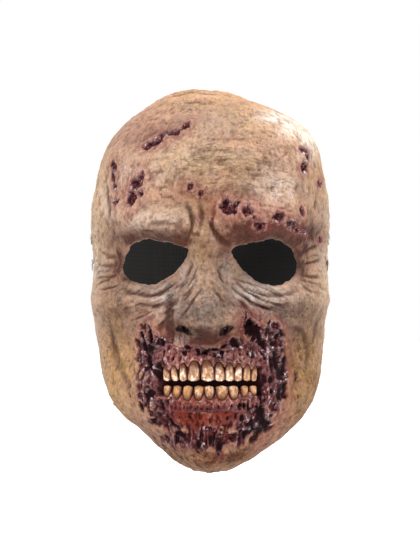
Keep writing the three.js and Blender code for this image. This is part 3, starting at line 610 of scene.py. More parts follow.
tints = {  # x, z, wide, tall, strength
    "rose": (
        (-36, 80, 22, 9, 0.8), (-54, 52, 10, 16, 0.7), (-12, 44, 14, 9, 0.6), (24, 30, 26, 9, 0.8),
        (58, 60, 10, 16, 0.7), (-36, -22, 22, 6, 0.5), (36, -22, 20, 6, 0.45), (-58, -6, 8, 14, 0.5),
        (56, -4, 8, 14, 0.5), (-50, -46, 12, 20, 0.6), (50, -52, 9, 26, 0.6), (28, -36, 10, 12, 0.8),
        (-24, -38, 9, 12, 0.6), (-30, 18, 20, 6, 0.4), (32, 18, 22, 6, 0.6), (36, 66, 22, 16, 0.5),
        (0, -48, 16, 6, 0.6), (-60, 20, 9, 30, 0.4), (-36, 44, 20, 14, 0.35), (8, 52, 24, 6, 0.4),
        (-44, 66, 14, 18, 0.35),
    ),
    "ochre": (
        (-78, 20, 9, 80, 0.7), (78, 0, 8, 90, 0.6), (24, 88, 16, 12, 0.5), (0, 108, 40, 9, 0.35),
        (-62, -66, 12, 30, 0.9), (62, -70, 13, 32, 0.9), (-4, -122, 30, 7, 1), (0, 62, 24, 9, 0.8),
        (70, 75, 14, 26, 0.8), (-6, 30, 8, 10, 0.4), (61, -48, 5, 6, 0.9), (-8, 8, 6, 14, 0.4),
    ),
    "grey": (
        (-3, -35, 13, 12, 0.9), (-4, -22, 8, 14, 0.5), (-28, 24, 16, 8, 0.35), (34, -12, 18, 9, 0.8),
        (-34, -14, 18, 8, 0.6), (4, 88, 24, 8, 0.45), (46, -32, 16, 12, 0.75), (-44, -32, 14, 10, 0.5),
        (66, 10, 9, 26, 0.4), (16, 66, 20, 8, 0.3), (46, 62, 15, 12, 0.3), (-66, 0, 8, 16, 0.35),
    ),
    # painted shade: darker patches multiplied into the paint, most under the brows, round the eyes, under the
    # nose, on the chin and down the right jaw
    "soot": (
        (37, 18.5, 21, 6, 1.9), (-36, 15, 19, 3, 1), (52, 13, 8, 7, 1.2), (24, 13, 7, 4, 1.4),
        (56, 3, 4.5, 9, 1.4), (-57, 1, 3.5, 10, 0.9), (-51, -9, 6, 5, 0.9), (0, -119, 34, 9, 0.55),
        (62, -72, 20, 34, 0.5), (56, -28, 15, 13, 0.3), (-55, -24, 14, 13, 0.3), (-3, -41, 14, 4, 0.7),
        (-3, -46.5, 5, 3.5, 1.3), (-3, 22, 6, 9, 0.3), (-24, -36, 2, 9, 1.7), (20, -37, 2, 9, 1.6),
        (56.5, 46, 2.2, 10, 0.5), (-62, -48, 8, 16, 0.2), (-17, 18, 5, 5, 0.5), (12, 14, 6, 3, 0.7),
        (20, -103, 20, 6, 0.4), (-3, -2, 10, 14, 0.3), (-3, -36, 14, 8, 0.6), (9, -121, 12, 4, 0.9),
        (0, 98, 40, 8, 0.2), (0, 54, 26, 9, 0.35), (-28, 84, 18, 8, 0.3), (12, 74, 36, 18, 0.15),
        (70, 30, 9, 40, 0.25),
    ),
    "pale": (
        (-34, -21, 15, 6, 0.25), (36, -21, 15, 6, 0.35), (-75, -10, 5, 50, 0.4), (75, 0, 5, 50, 0.35),
        # the first three rows below, at the upper right of the crown, are a painted highlight
        (54, 86, 8, 5, 1.2), (63, 76, 5, 9, 1.2), (44, 92, 9, 4, 1), (-38, 24, 14, 7, 0.3),
        (-20, 66, 26, 12, 0.2), (40, 46, 14, 8, 0.4), (-14, -6, 5, 9, 0.4), (10, -8, 5, 9, 0.4),
        (-27, -25, 8, 6, 0.6), (24, -23, 7, 7, 0.9), (-44, 56, 16, 8, 0.35), (-66, 40, 8, 16, 0.3),
        (30, 22, 10, 4, 0.3), (-18, -47, 6, 3, 0.5),
    ),
    "blood": (  # the darkest flesh, in a ring round the mouth
        (-36, -52, 5.5, 13, 0.8), (-38, -74, 4.5, 14, 0.6), (-31, -93, 7, 9, 1), (-18, -107, 10, 6, 0.6),
        (2, -113, 12, 5, 0.6), (27, -106, 12, 8, 1.2), (46, -86, 5, 10, 1), (33, -98, 8, 9, 1.4),
        (45, -72, 4.5, 15, 1.5), (42, -54, 6, 13, 1.2), (27, -42, 6, 12, 1.1), (15, -51, 6, 4, 0.9),
        (-30, -50, 5, 6, 0.8), (-10, -54, 10, 3, 0.6), (-33, -66, 3, 9, 0.8), (35, -68, 3, 9, 0.8),
        # the last two rows below are painted shade in the fold under the lower gum
        (0, -76, 60, 1.8, 0.5), (-4, -91.5, 18, 1.8, 1.2), (16, -89.5, 8, 1.3, 0.8),
    ),
    "grime": (  # dark speckles as painted shade, under the brows and nose, on the chin and jaws
        (-2, -121, 34, 8, 1.6), (-40, -100, 12, 10, 0.7), (44, -100, 12, 10, 0.7), (-3, -32, 13, 12, 0.8),
        (0, -50, 26, 5, 0.8), (62, -60, 12, 30, 0.5), (-62, -60, 12, 30, 0.35), (56, -28, 14, 12, 0.5),
        (-56, -24, 14, 12, 0.5), (36, 18, 22, 6, 0.7), (-36, 15, 20, 4, 0.5), (-3, 24, 10, 14, 0.4),
        (20, -103, 20, 8, 0.6),
    ),
    "fire": (  # orange red
        (-9, -95, 17, 7.5, 1.5), (4, -101, 10, 6, 1), (14, -103, 5, 8, 0.8), (-8, -90, 18, 3, 0.8),
    ),
    "gum": (  # pink and wet
        (17, -58, 13, 4.5, 1), (-24, -56, 9, 6, 0.9), (-8, -61, 12, 3, 0.9), (-28, -62, 5, 5, 0.7),
        (27, -61, 4, 5, 0.5), (0, -88, 30, 2, 0.8), (-30, -84, 4, 5, 0.6), (38, -47, 2.5, 6, 0.4),
        (-33, -44, 3, 5, 0.6),
    ),
}

skin = {
    "columns": 288, "rows": 288, "finer": 3, "middleDensity": 0.3, "faceDensity": 1.6, "deepest": 2.4,
    "mouthDeepest": 1.5, "thinnest": 1, "passes": 4, "fine": 0.2, "dents": 0.4, "swell": 0.9, "folds": 0.22,
    "wrinkleSeed": 3,
}
tornRelief = {  # what each part adds to the height of torn skin, in millimetres
    "level": -0.7, "strands": 1.1, "beads": 0.5, "fine": 0.3, "caves": -1.3, "slits": -1.4, "rim": 0.6,
}


def creaseRelief(x, z, rows):
    # a groove exp(-d^2/2w^2) with a softer ridge beside it, both fading at the ends as the root of sin
    out = np.zeros(x.shape)
    for start, bend, end, width, depth, ridge in rows:
        corners = np.array([start, bend, end], float)
        low, high = corners.min(axis=0) - 5 * width, corners.max(axis=0) + 5 * width
        near = (x > low[0]) & (x < high[0]) & (z > low[1]) & (z < high[1])
        distance, place = nearCurve(x[near], z[near], *corners)
        taper = np.sqrt(np.maximum(np.sin(np.pi * np.clip(place, 0.01, 0.99)), 0))
        groove = depth * bell(distance / width) - ridge * bell((distance - 2.6 * width) / (1.3 * width))
        out[near] -= taper * groove
    return out


def wrinkleRows():
    # each wrinkle is a stretch, from share a to b, of a bowed path between the first and the last one
    dice = np.random.default_rng(skin["wrinkleSeed"])
    rows = []
    for count, startFirst, startLast, endFirst, endLast, bow, cover, width, depth in wrinkles:
        for _ in range(count):
            t = dice.uniform(0, 1)
            start = (1 - t) * np.array(startFirst) + t * np.array(startLast) + dice.uniform(-2, 2, 2)
            end = (1 - t) * np.array(endFirst) + t * np.array(endLast) + dice.uniform(-2, 2, 2)
            middle = (start + end) / 2 + np.array(bow) * dice.uniform(0.3, 1.5) + dice.uniform(-2, 2, 2)
            part = dice.uniform(*cover)
            a = dice.uniform(0, 1 - part)
            b = a + part
            corners = [
                (1 - p) * (1 - q) * start + (p * (1 - q) + q * (1 - p)) * middle + p * q * end
                for p, q in ((a, a), (a, b), (b, b))
            ]
            deep = depth * dice.uniform(0.4, 1.5)
            rows.append((*corners, width * dice.uniform(0.8, 1.6), deep, deep * 0.45))
    return rows


def gridPlaces(columns, rows):  # the columns crowd to the middle line, the rows to the eyes, nose and mouth
    side = np.linspace(-1, 1, columns + 1)
    u = side * (1 - skin["middleDensity"] * (1 - side * side))
    index = np.arange(len(sections["level"]), dtype=float)
    steps = np.linalg.norm(np.diff(headForm(0 * index, index), axis=0), axis=1)
    weight = 1 + skin["faceDensity"] * bell((sections["level"][1:] - 0.38) / 0.18)
    distance = np.concatenate([[0], np.cumsum(steps * weight)])
    place = np.interp(np.linspace(0, distance[-1], rows + 1), distance, index)
    return np.meshgrid(u, place)


def tintOf(name, x, z, drift):  # the highest of the tint's bells, broken up by noise
    patches = [row[4] * bell(ellipseDistance(x, z, (*row[:4], 0))) for row in tints[name]]
    return np.clip(np.max(patches, axis=0) * (1 + 0.5 * drift), 0, 1)


def slitsAt(x, z, noise, rows=slits):  # 1 in a slit and 0 outside, with a ragged edge
    nearest = np.min([ellipseDistance(x, z, row) for row in rows], axis=0)
    return smooth(1.2, 0.75, nearest + noise)


torn = {"strandShape": (1.7, 1, 0.75), "caveShape": (1.3, 1, 0.62), "beadGrain": 2.4, "beadSeed": 91}


def tornFlesh(solid, tinted):
    # strands where noise passes through nothing, and caves where coarser noise is high, both taller than wide
    strands = 1 - 2 * np.abs(noiseOf("strands", solid * torn["strandShape"]))
    caves = noiseOf("caves", solid * torn["caveShape"]) + 0.45 * tinted["blood"] - 0.6 * tinted["fire"] - 0.25
    beads = 0.6 - cellNoise(solid, torn["beadGrain"], torn["beadSeed"])
    return strands, smooth(-0.05, 0.6, caves), beads


def reliefLayers(relief, reach, full):  # how deep and how proud each point lies among its neighbours
    cavity = (relief - blurred(relief, reach)) / full
    return {"deep": np.clip(-cavity, 0, 1), "proud": np.clip(cavity, 0, 1)}


def skinDetail(x, z, solid):
    # the relief in millimetres, and the layers that the paint reads
    drift, fine = noiseOf("drift", solid), noiseOf("fine", solid)
    relief = skin["fine"] * fine + skin["folds"] * (1 - 2 * np.abs(noiseOf("folds", solid)))
    relief += sum(skin[name] * noiseOf(name, solid) for name in ("dents", "swell"))
    layers = {name: tintOf(name, x, z, drift) for name in tints}
    lines = creaseRelief(x, z, creases)
    thin = creaseRelief(x, z, wrinkleRows())
    relief = relief + lines * (1 + 0.3 * drift) + thin * (0.7 + 0.8 * drift)

    raw = np.max([1 - ellipseDistance(x, z, row) for row in rawPatches], axis=0)
    lip = bell((x + 3) / 15) * bell((z + 47) / 4)  # skin that is left under the nose
    raw = smooth(-0.05, 0.14, raw + 0.4 * drift + 0.2 * fine - 0.6 * lip)
    strands, caves, beads = tornFlesh(solid, layers)
    black = slitsAt(x, z, 0.3 * drift + 0.25 * fine)
    parts = {"strands": strands, "beads": beads, "fine": fine, "caves": caves}
    relief += raw * (tornRelief["level"] + sum(tornRelief[name] * part for name, part in parts.items()))
    relief += tornRelief["slits"] * black + tornRelief["rim"] * bell((raw - 0.15) / 0.12) * (1 + drift)

    gore, sore, tear = np.zeros((3, *x.shape))
    for row in wounds:
        depth = row[5]
        distance = ellipseDistance(x, z, row) + 0.35 * drift + 0.25 * fine
        pit = smooth(1.1, 0.45, distance)
        relief += (2 * beads + 0.8 * fine - depth) * pit + 0.35 * depth * bell((distance - 1.3) / 0.2)
        gore = np.maximum(gore, smooth(1.2, 0.85, distance))
        sore = np.maximum(sore, bell(np.maximum(distance - 0.9, 0)))
        tear = np.maximum(tear, bell((distance - 1.35) / 0.16))

    layers |= {"raw": raw, "gore": gore, "sore": sore, "tear": tear, "cave": raw * caves * 0.7}
    layers["black"] = np.maximum(black, slitsAt(x, z, 0.15 * drift, nostrilShades))
    # painted shade in the creases and wrinkles, as deep as they are
    layers["wash"] = np.clip(-(lines + 1.7 * thin) / 1.1, 0, 1)
    # where the fine lines rise and fall across the forehead, run down, and run away from the nose
    lined = smooth(34, 46, z) * (1 - smooth(70, 82, z)) * smooth(-34, -8, x) * (1 - smooth(46, 60, x))
    layers["rising"] = lined * (1 - smooth(8, 26, x))
    layers["falling"] = lined * smooth(8, 26, x)
    down = smooth(40, 60, np.abs(x)) + smooth(-40, -70, z) * smooth(30, 45, np.abs(x))
    layers["down"] = np.clip(down, 0, 1) * (1 - 0.7 * smooth(40, 70, z))
    for name, side in (("rayRight", -1), ("rayLeft", 1)):
        layers[name] = bell((x - side * 34) / 17) * bell((z + 22) / 15)
    return relief, layers


def skinGrid():
    u, place = gridPlaces(skin["columns"], skin["rows"])
    points, fade = facePoints(u, place)
    points[..., 1] -= noseRelief(points[..., 0], points[..., 2]) * fade
    normals = normalsOf(points)
    x, z = points[..., 0], points[..., 2]
    relief, layers = skinDetail(x, z, points)
    edge = np.full(x.shape, 50.0)
    for loop in eyeLoops:
        edge = np.minimum(edge, insideDistance(x, z, loop))
    mouthEdge = insideDistance(x, z, mouthLoop)
    relief += 0.7 * bell((edge - 2.2) / 1.3) - 0.9 * (1 - smooth(0, 1.6, edge))
    relief -= 0.6 * (1 - smooth(0, 2.0, mouthEdge))
    layers["lip"] = 1 - smooth(0.4, 2.0, edge)

    # no pit is deeper than the wall can bear, less so in front of the gums, and the wall's back makes room
    away = smooth(4, 12, mouthEdge)
    deepest = skin["mouthDeepest"] + (skin["deepest"] - skin["mouthDeepest"]) * away
    raised = relief * (0.15 + 0.85 * smooth(1, 6, mouthEdge))
    relief = np.where(relief < 0, deepest * np.tanh(relief / deepest), raised)
    relief *= 1 - smooth(0.93, 1.0, np.abs(u))  # the cut edge stays where the frame has it
    k = skin["finer"]
    pits = blurred(np.maximum(-relief, 0), 2)
    behind = np.maximum(face["wall"], skin["thinnest"] + 0.8 * away + pits * 1.25)
    inner = (points - normals * behind[..., None])[::k, ::k]

    # deep darkens the paint in small pits as painted shade, proud lightens raised parts as a painted
    # highlight
    layers |= reliefLayers(relief, 3, 0.4)
    # painted shade in the face's broad hollows and a painted highlight on its crests, from how far each point
    # lies behind or before its blurred neighbours, on the front only
    hollow = blurred(-points[..., 1], 11) + points[..., 1]
    front = 1 - smooth(60, 72, np.abs(x))
    layers["hollow"], layers["crest"] = (np.clip(sign * hollow / 2.2, 0, 1) * front for sign in (1, -1))
    # painted shade on the undersides, which face down, fading towards the cut edge
    layers["under"] = np.clip(-1.3 * normals[..., 2], 0, 1) * (1 - smooth(0.8, 0.95, np.abs(u)))
    return points + normals * relief[..., None], inner, layers


def prism(loop, front, back):  # the outline carried straight back from front to back
    return np.concatenate([standing(loop, front), standing(loop, back)])


nostril = {
    "across": 12, "forward": 0.42, "down": 0.93, "wide": 4.5, "tall": 2.6, "half": 9, "lean": 62, "turn": 12,
    "sides": 24, "near": 3.5, "far": 6, "behind": 14,
}
cutters = {"front": -150, "eyesBack": -30, "mouthBack": -48}


def nostrilMiddle(side):
    forward = -face["reach"] - nose["reach"] * nostril["forward"]
    up = nose["top"] - nose["length"] * nostril["down"]
    return np.array([nose["across"] + side * nostril["across"], forward, up])


def nostrilTube(side):
    # an oval carried along a line that leans back and outwards through the underside of the nose
    angle = around(nostril["sides"])[:, None]
    lean, turn = np.radians(nostril["lean"]), np.radians(nostril["turn"]) * side
    axis = np.array([-np.sin(turn) * np.cos(lean), -np.cos(turn) * np.cos(lean), -np.sin(lean)])
    across = unit(np.cross(axis, (0, 0, 1)))
    over = np.cross(across, axis)
    ring = np.cos(angle) * across * nostril["wide"] + np.sin(angle) * over * nostril["tall"]
    ends = (nostrilMiddle(side) + sign * nostril["half"] * axis for sign in (1, -1))
    return np.concatenate([ring + end for end in ends])


def cutHoles(piece):
    shapes = [prism(loop, cutters["front"], cutters["eyesBack"]) for loop in eyeLoops]
    shapes.append(prism(mouthLoop, cutters["front"], cutters["mouthBack"]))
    shapes += [nostrilTube(side) for side in (-1, 1)]
    faces, offset = [], 0
    for shape in shapes:
        faces += tubeFaces(2, len(shape) // 2, offset)
        offset += len(shape)
    cutter = newPiece("cutter", np.concatenate(shapes), faces)
    recalculate(cutter.data)
    cut = piece.modifiers.new("holes", "BOOLEAN")
    cut.operation, cut.solver, cut.object = "DIFFERENCE", "MANIFOLD", cutter
    applyModifiers(piece)
    bpy.data.objects.remove(cutter)


def recalculate(mesh):  # faces point outwards
    work = bmesh.new()
    work.from_mesh(mesh)
    bmesh.ops.recalc_face_normals(work, faces=work.faces)
    work.to_mesh(mesh)
    work.free()


def applyModifiers(piece):
    graph = bpy.context.evaluated_depsgraph_get()
    made = bpy.data.meshes.new_from_object(piece.evaluated_get(graph))
    piece.modifiers.clear()
    piece.data = made


def fillNewPoints(mesh, layers):
    # points that the cut added have no values, so each takes the mean of its neighbours that have; the last
    # layer is "known", which is 1 at points that have values
    ends = np.empty(2 * len(mesh.edges), int)
    mesh.edges.foreach_get("vertices", ends)
    a, b = ends.reshape(-1, 2).T
    known = readLayer(mesh, "known")
    for name in layers:
        value = readLayer(mesh, name)
        total, count = np.zeros(len(value)), np.zeros(len(value))
        for one, other in ((a, b), (b, a)):
            np.add.at(total, one, value[other] * known[other])
            np.add.at(count, one, known[other])
        filled = np.where(known > 0.5, value, total / np.maximum(count, 1))
        mesh.attributes[name].data.foreach_set("value", filled.astype(np.float32))


def readLayer(mesh, name):
    value = np.empty(len(mesh.vertices), np.float32)
    mesh.attributes[name].data.foreach_get("value", value)
    return value


outerSkin, innerSkin, skinLayers = skinGrid()
skinPoints = np.concatenate([outerSkin.reshape(-1, 3), innerSkin.reshape(-1, 3)])
innerCount = innerSkin.size // 3
allLayers = {name: np.concatenate([v.ravel(), np.zeros(innerCount)]) for name, v in skinLayers.items()}
allLayers["inside"] = np.concatenate([np.zeros(outerSkin.size // 3), np.ones(innerCount)])
# painted shade round the nostrils: the skin near their middles goes dark, over a wider area on the inside
nostrilMiddles = np.stack([nostrilMiddle(side) for side in (-1, 1)])
nostrilNear = np.linalg.norm(skinPoints - nostrilMiddles[:, None], axis=-1).min(axis=0)
nostrilNear -= nostril["behind"] * allLayers["inside"]
allLayers["nostril"] = 1 - smooth(nostril["near"], nostril["far"], nostrilNear)
allLayers["known"] = np.ones(len(skinPoints))
skinFaces = shellFaces(skin["rows"], skin["columns"], skin["finer"])
faceSkin = newPiece("faceSkin", skinPoints, skinFaces, allLayers, "latex_skin", ["face_skin"])
cutHoles(faceSkin)
for _ in range(skin["passes"]):
    fillNewPoints(faceSkin.data, allLayers)
smoothShade(faceSkin, 60)
print("skin made", len(faceSkin.data.polygons), "faces")


# The flesh behind the torn mouth: gums over both rows of teeth, with a trough behind the crowns.

toothRows = {
    "upper": {"width": 59, "tallest": 14.5, "edge": -1, "stain": 0, "teeth": (  # at, wide, tall
        (-0.93, 0.072, 0.7), (-0.76, 0.066, 0.76), (-0.57, 0.07, 0.84), (-0.34, 0.108, 0.96),
        (-0.05, 0.12, 1), (0.2, 0.092, 0.9), (0.41, 0.084, 0.9), (0.6, 0.076, 0.86), (0.78, 0.072, 0.84),
        (0.94, 0.062, 0.74),
    )},
    "lower": {"width": 58, "tallest": 10.5, "edge": 1, "stain": 0.75, "teeth": (
        (-0.92, 0.074, 0.74), (-0.71, 0.082, 0.9), (-0.48, 0.09, 1), (-0.24, 0.088, 0.96),
        (-0.01, 0.09, 0.92), (0.26, 0.112, 0.96), (0.51, 0.09, 0.94), (0.74, 0.07, 0.78), (0.93, 0.072, 0.7),
    )},
}
bite = {"level": -face["biteDrop"], "slit": 3, "toothDepth": 4.6, "bar": 1.6, "barSteps": 48}
flesh = {
    "margin": 6, "columns": 270, "rows": 168, "finer": 3, "wall": 2.2, "ridgeDepth": 1.1, "papilla": 3.2,
    "rise": 1.6, "strands": 0.9, "beads": 0.6, "fine": 0.25, "caves": 1.2, "slits": 0.8,
}


def locate(x, z):  # the inverse of headForm: u and place of a point of the form
    levels = sections["level"]
    fine = np.linspace(lowestSection, len(levels) - 1, 3000)
    place = np.interp((z - chinLevel) / face["height"], along(levels, fine), fine)
    share = (x / face["halfWidth"] - along(sections["shift"], place)) / along(sections["half"], place)
    return np.arcsin(signedPower(share, along(sections["round"], place) / 2)) * 2 / np.pi, place


def underFace(x, z, *depths):  # points at some depths under the face, along its normals
    points, _ = facePoints(*locate(x, z))
    normals = normalsOf(points)
    return [points - normals * np.broadcast_to(depth, x.shape)[..., None] for depth in depths]


def neckLine(x, row):
    # the gum's edge: at each crown's neck, with a point of gum between each two crowns
    at, wide, tall = np.array(row["teeth"]).T
    middle = at * row["width"] / 2
    reach = bite["slit"] / 2 + np.interp(x, middle, tall) * row["tallest"]
    gaps = (middle[1:] + middle[:-1]) / 2
    points = sum(bell((x - gap) / 0.95) for gap in gaps)
    arches = sum(bell((x - centre) / breadth) for centre, breadth in zip(middle, 0.3 * wide * row["width"]))
    return bite["level"] - row["edge"] * (reach - 1.5 - flesh["papilla"] * points), arches


def fleshDepth(x, z):
    upper, upperArches = neckLine(x, toothRows["upper"])
    lower, lowerArches = neckLine(x, toothRows["lower"])
    above, below = z - upper, lower - z
    beyond = np.maximum(above, below)
    arches = np.where(above > below, upperArches, lowerArches)
    across = np.abs(x) / (toothRows["upper"]["width"] / 2)
    ends = 1 - smooth(1.0, 1.2, across)
    trough = (1 - smooth(-0.7, 0.9, beyond)) * ends
    ridge = smooth(-0.7, 1.4, beyond) * (1 - smooth(1.8, 4.2, beyond)) * (1 - smooth(0.86, 1.05, across))
    border = face["wall"] + 2 * face["gap"]
    depth = border + (bite["toothDepth"] + bite["bar"] + face["gap"] - border) * trough
    return depth - (border - flesh["ridgeDepth"] + 0.5 * arches) * ridge, trough, ridge


def fleshGrid():
    width, height = mouthHole["width"] / 2 + flesh["margin"], mouthHole["height"] / 2 + flesh["margin"]
    across = np.linspace(-width, width, flesh["columns"] + 1)
    up = np.linspace(-height, height, flesh["rows"] + 1) + mouthHole["z"]
    gridX, gridZ = np.meshgrid(across, up)
    depth, trough, ridge = fleshDepth(gridX, gridZ)
    solid, = underFace(gridX, gridZ, 0 * depth + flesh["ridgeDepth"])  # where the flesh comes to lie
    x, z = solid[..., 0], solid[..., 2]
    drift, fine = noiseOf("fleshDrift", solid), noiseOf("fleshFine", solid)
    tinted = {name: tintOf(name, x, z, drift) for name in ("blood", "fire", "gum")}
    strands, caves, beads = tornFlesh(solid, tinted)
    black = slitsAt(x, z, 0.3 * drift + 0.25 * fine)
    inside = -insideDistance(x, z, mouthLoop)
    showing = smooth(-0.9, 0.2, inside)
    lumps = flesh["rise"] + flesh["strands"] * strands + flesh["beads"] * beads + flesh["fine"] * fine
    lumps -= flesh["caves"] * caves * smooth(0.5, 3, inside)
    lumps += (2.2 - lumps) * (1 - smooth(0.4, 2, inside)) - flesh["slits"] * black
    lumps = showing * (1 - trough) * lumps * (1 - 0.75 * ridge)
    lumps += 0.4 * ridge * drift + 0.25 * ridge * fine
    front, = underFace(gridX, gridZ, depth - lumps)
    k = flesh["finer"]
    back, = underFace(gridX[::k, ::k], gridZ[::k, ::k], np.maximum(depth, 2.9)[::k, ::k] + flesh["wall"])
    # black in the trough behind the crowns, and darker under the skin's edge as painted shade
    dark = np.clip(trough + 0.3 * (1 - showing), 0, 1)
    layers = {"dark": dark, "pink": ridge, "cave": 0.7 * caves, "black": black, **tinted}
    return front, back, layers | reliefLayers(lumps, 4, 0.45)


fleshFront, fleshBack, fleshLayers = fleshGrid()
backCount = fleshBack.size // 3
fleshPoints = np.concatenate([fleshFront.reshape(-1, 3), fleshBack.reshape(-1, 3)])
fleshFaces = shellFaces(flesh["rows"], flesh["columns"], flesh["finer"])
fleshLayers = {
    name: np.concatenate([v.ravel(), np.full(backCount, float(name == "dark"))])
    for name, v in fleshLayers.items()
}
gums = newPiece("mouthFlesh", fleshPoints, fleshFaces, fleshLayers, "gum_latex", ["gums"])
smoothShade(gums, 70)
print("flesh made", len(gums.data.polygons), "faces")


# Teeth: stained crowns on a thin bar.

crown = {"rings": 30, "sides": 32, "edgeDepth": 0.42, "neck": 0.6, "fuller": 1.2, "set": 0.68, "seed": 11}


def crownRings(width, height, edge, dice):
    # rings up the crown: t goes from the biting edge to the neck, and each ring is a rounded oblong
    # |x/w|^a + |y/d|^a = 1, with w and d running from a thin wide edge to a thick narrow neck
    t = (1 - np.cos(np.linspace(0, np.pi, crown["rings"])))[:, None] / 2
    angle = around(crown["sides"])[None, :]
    closing = np.minimum(1, (np.minimum(t / 0.08, (1 - t) / 0.2) + 1e-3)) ** 0.45  # rounded shut at both ends
    w = width / 2 * (0.96 + 0.1 * np.sin(np.pi * t ** 0.7) - (1 - crown["neck"]) * t ** 1.5) * closing
    d = bite["toothDepth"] / 2 * (crown["edgeDepth"] + (1 - crown["edgeDepth"]) * smooth(0, 0.7, t)) * closing
    x = w * signedPower(np.cos(angle), 0.72)
    y = -d * signedPower(np.sin(angle), 0.8) - 0.55 * np.sin(np.pi * t) + 0.5
    lean = dice.uniform(-0.09, 0.09)
    x = x + lean * height * (t - 0.5) + 0.08 * np.sin(9 * t + dice.uniform(0, 6)) * width / 5
    y = y + 0.09 * np.cos(x * 5.5 / width * 2) * (1 - t)
    z = -edge * (t - 0.5 + 0.012 * np.sin(4 * x + dice.uniform(0, 6)) * (1 - t)) * height
    return np.stack([x, y, z + 0 * x], -1), t + 0 * x, np.abs(np.cos(angle)) + 0 * t


def rowMiddle(row, height):  # the level of the middle of a crown that is so high
    return bite["level"] - row["edge"] * (bite["slit"] + height) / 2


def rowPoints(row, seed):
    dice = np.random.default_rng(seed)
    points, faces, offset = [], [], 0
    layers = {"toGum": [], "side": [], "tone": []}
    for at, wide, tall in row["teeth"]:
        height = tall * row["tallest"]
        near = np.array([-0.2, 0, 0.2])  # a small patch round the crown's middle, for its normal
        x, z = np.meshgrid(near + at * row["width"] / 2, near + rowMiddle(row, height))
        depths = bite["toothDepth"] * crown["set"], bite["toothDepth"]
        centre, under = (grid[1, 1] for grid in underFace(x, z, *depths))
        normal = centre - under
        turn = np.arctan2(normal[0], -normal[1]) + dice.uniform(-0.12, 0.12)
        ring, toGum, side = crownRings(wide * row["width"] * crown["fuller"], height, row["edge"], dice)
        c, s = np.cos(turn), np.sin(turn)
        x, y, z = np.moveaxis(ring, -1, 0)
        turned = np.stack([x * c - y * s, x * s + y * c, z], -1)
        points.append((turned + centre).reshape(-1, 3))
        faces += tubeFaces(crown["rings"], crown["sides"], offset)
        offset += ring.size // 3
        # amber at random, more on the lower row, and more towards the row's ends as painted shade on the back
        # teeth
        tone = np.clip(dice.uniform(0, 0.5) + row["stain"] + 0.6 * abs(at) ** 2, 0, 1) + 0 * toGum
        for name, value in (("toGum", toGum), ("side", side), ("tone", tone)):
            layers[name].append(value.ravel())
    return points, faces, layers, offset


def addRow(name, row, seed, node):
    points, faces, layers, offset = rowPoints(row, seed)
    across = np.linspace(-0.48, 0.48, bite["barSteps"] + 1) * row["width"]
    x, z = np.meshgrid(across, rowMiddle(row, row["tallest"]) + np.array([-0.2, 0.2]) * row["tallest"])
    bar = underFace(x, z, bite["toothDepth"], bite["toothDepth"] + bite["bar"])
    points += [side.reshape(-1, 3) for side in bar]
    faces += [[v + offset for v in face] for face in shellFaces(1, bite["barSteps"], 1)]
    for values in layers.values():
        values.append(np.ones(bar[0].size // 3 * 2))
    joined = {k: np.concatenate(v) for k, v in layers.items()}
    piece = newPiece(name, np.concatenate(points), faces, joined, "teeth", [node])
    recalculate(piece.data)
    smoothShade(piece, 60)
    return piece


upperTeeth = addRow("upperTeeth", toothRows["upper"], crown["seed"], "upper_teeth")
lowerTeeth = addRow("lowerTeeth", toothRows["lower"], crown["seed"] + 1, "lower_teeth")
print("teeth made")


# The elastic: a flat ribbed band, level round the back of the head, with a straight tab inside each temple.

bandLow, bandHigh = boxOf("elastic_band")
band = {
    "width": 38, "thick": 1.6, "fall": 4, "ribs": 13, "rib": 0.14, "weft": 1.1, "braid": 1.46,
    "steps": 260, "across": 70,
}
band |= {
    "half": bandHigh[0] - band["thick"] / 2, "back": bandHigh[1] - band["thick"] / 2, "tab": -bandLow[1],
    "rise": bandHigh[2] - band["width"] / 2,
}


def bandLine(share):
    # two straight tabs, joined by half an oval x = half cos a, y = back sin a, a little lower at the back
    oval = np.pi * np.sqrt((band["half"] ** 2 + band["back"] ** 2) / 2)
    tabShare = band["tab"] / (2 * band["tab"] + oval)
    side = np.where(share < 0.5, -1, 1)
    fromEnd = np.minimum(share, 1 - share)
    angle = np.clip((fromEnd - tabShare) / (0.5 - tabShare), 0, 1) * np.pi / 2
    y = np.where(fromEnd <= tabShare, band["tab"] * (fromEnd / tabShare - 1), band["back"] * np.sin(angle))
    z = band["rise"] - band["fall"] * smooth(0, 1, np.sin(angle))
    return np.stack([side * band["half"] * np.cos(angle), y, z], -1)


def bandSurface():
    # each ring goes up the outer face and down the inner one; ribs are a cosine across the width
    share = np.linspace(0, 1, band["steps"])
    line = bandLine(share)
    ahead = unit(np.gradient(line, axis=0))
    outward = unit(np.stack([-ahead[:, 1], ahead[:, 0], 0 * share], -1))
    half = band["across"] // 2
    across = np.concatenate([np.linspace(-1, 1, half), np.linspace(1, -1, half)])
    face = np.concatenate([np.ones(half), -np.ones(half)])
    rounded = (1 - np.abs(across) ** 14) ** 0.5 * 0.9 + 0.1
    grooves = band["rib"] * (0.5 - 0.5 * np.cos(np.pi * band["ribs"] * across))
    thick = face * (band["thick"] / 2 * rounded - grooves)
    points = line[:, None] + outward[:, None] * thick[None, :, None]
    points[..., 2] += across * band["width"] / 2
    length = np.concatenate([[0], np.cumsum(np.linalg.norm(np.diff(line, axis=0), axis=1))])
    far, over = np.broadcast_arrays(length[:, None], across * band["width"] / 2)
    return points, {"alongBand": far, "acrossBand": over}, length[-1]


bandPoints, bandLayers, bandLength = bandSurface()
bandFaces = tubeFaces(band["steps"], len(bandPoints[0]))
bandLayers = {name: v.ravel() for name, v in bandLayers.items()}
bandPoints = bandPoints.reshape(-1, 3)
elastic = newPiece("elasticBand", bandPoints, bandFaces, bandLayers, "elastic", ["elastic_band"])
recalculate(elastic.data)
smoothShade(elastic, 50)
bandLength * mm
print("elastic made", round(bandLength), "mm long")


# Rivets: a domed cap outside, a rolled tube end inside.

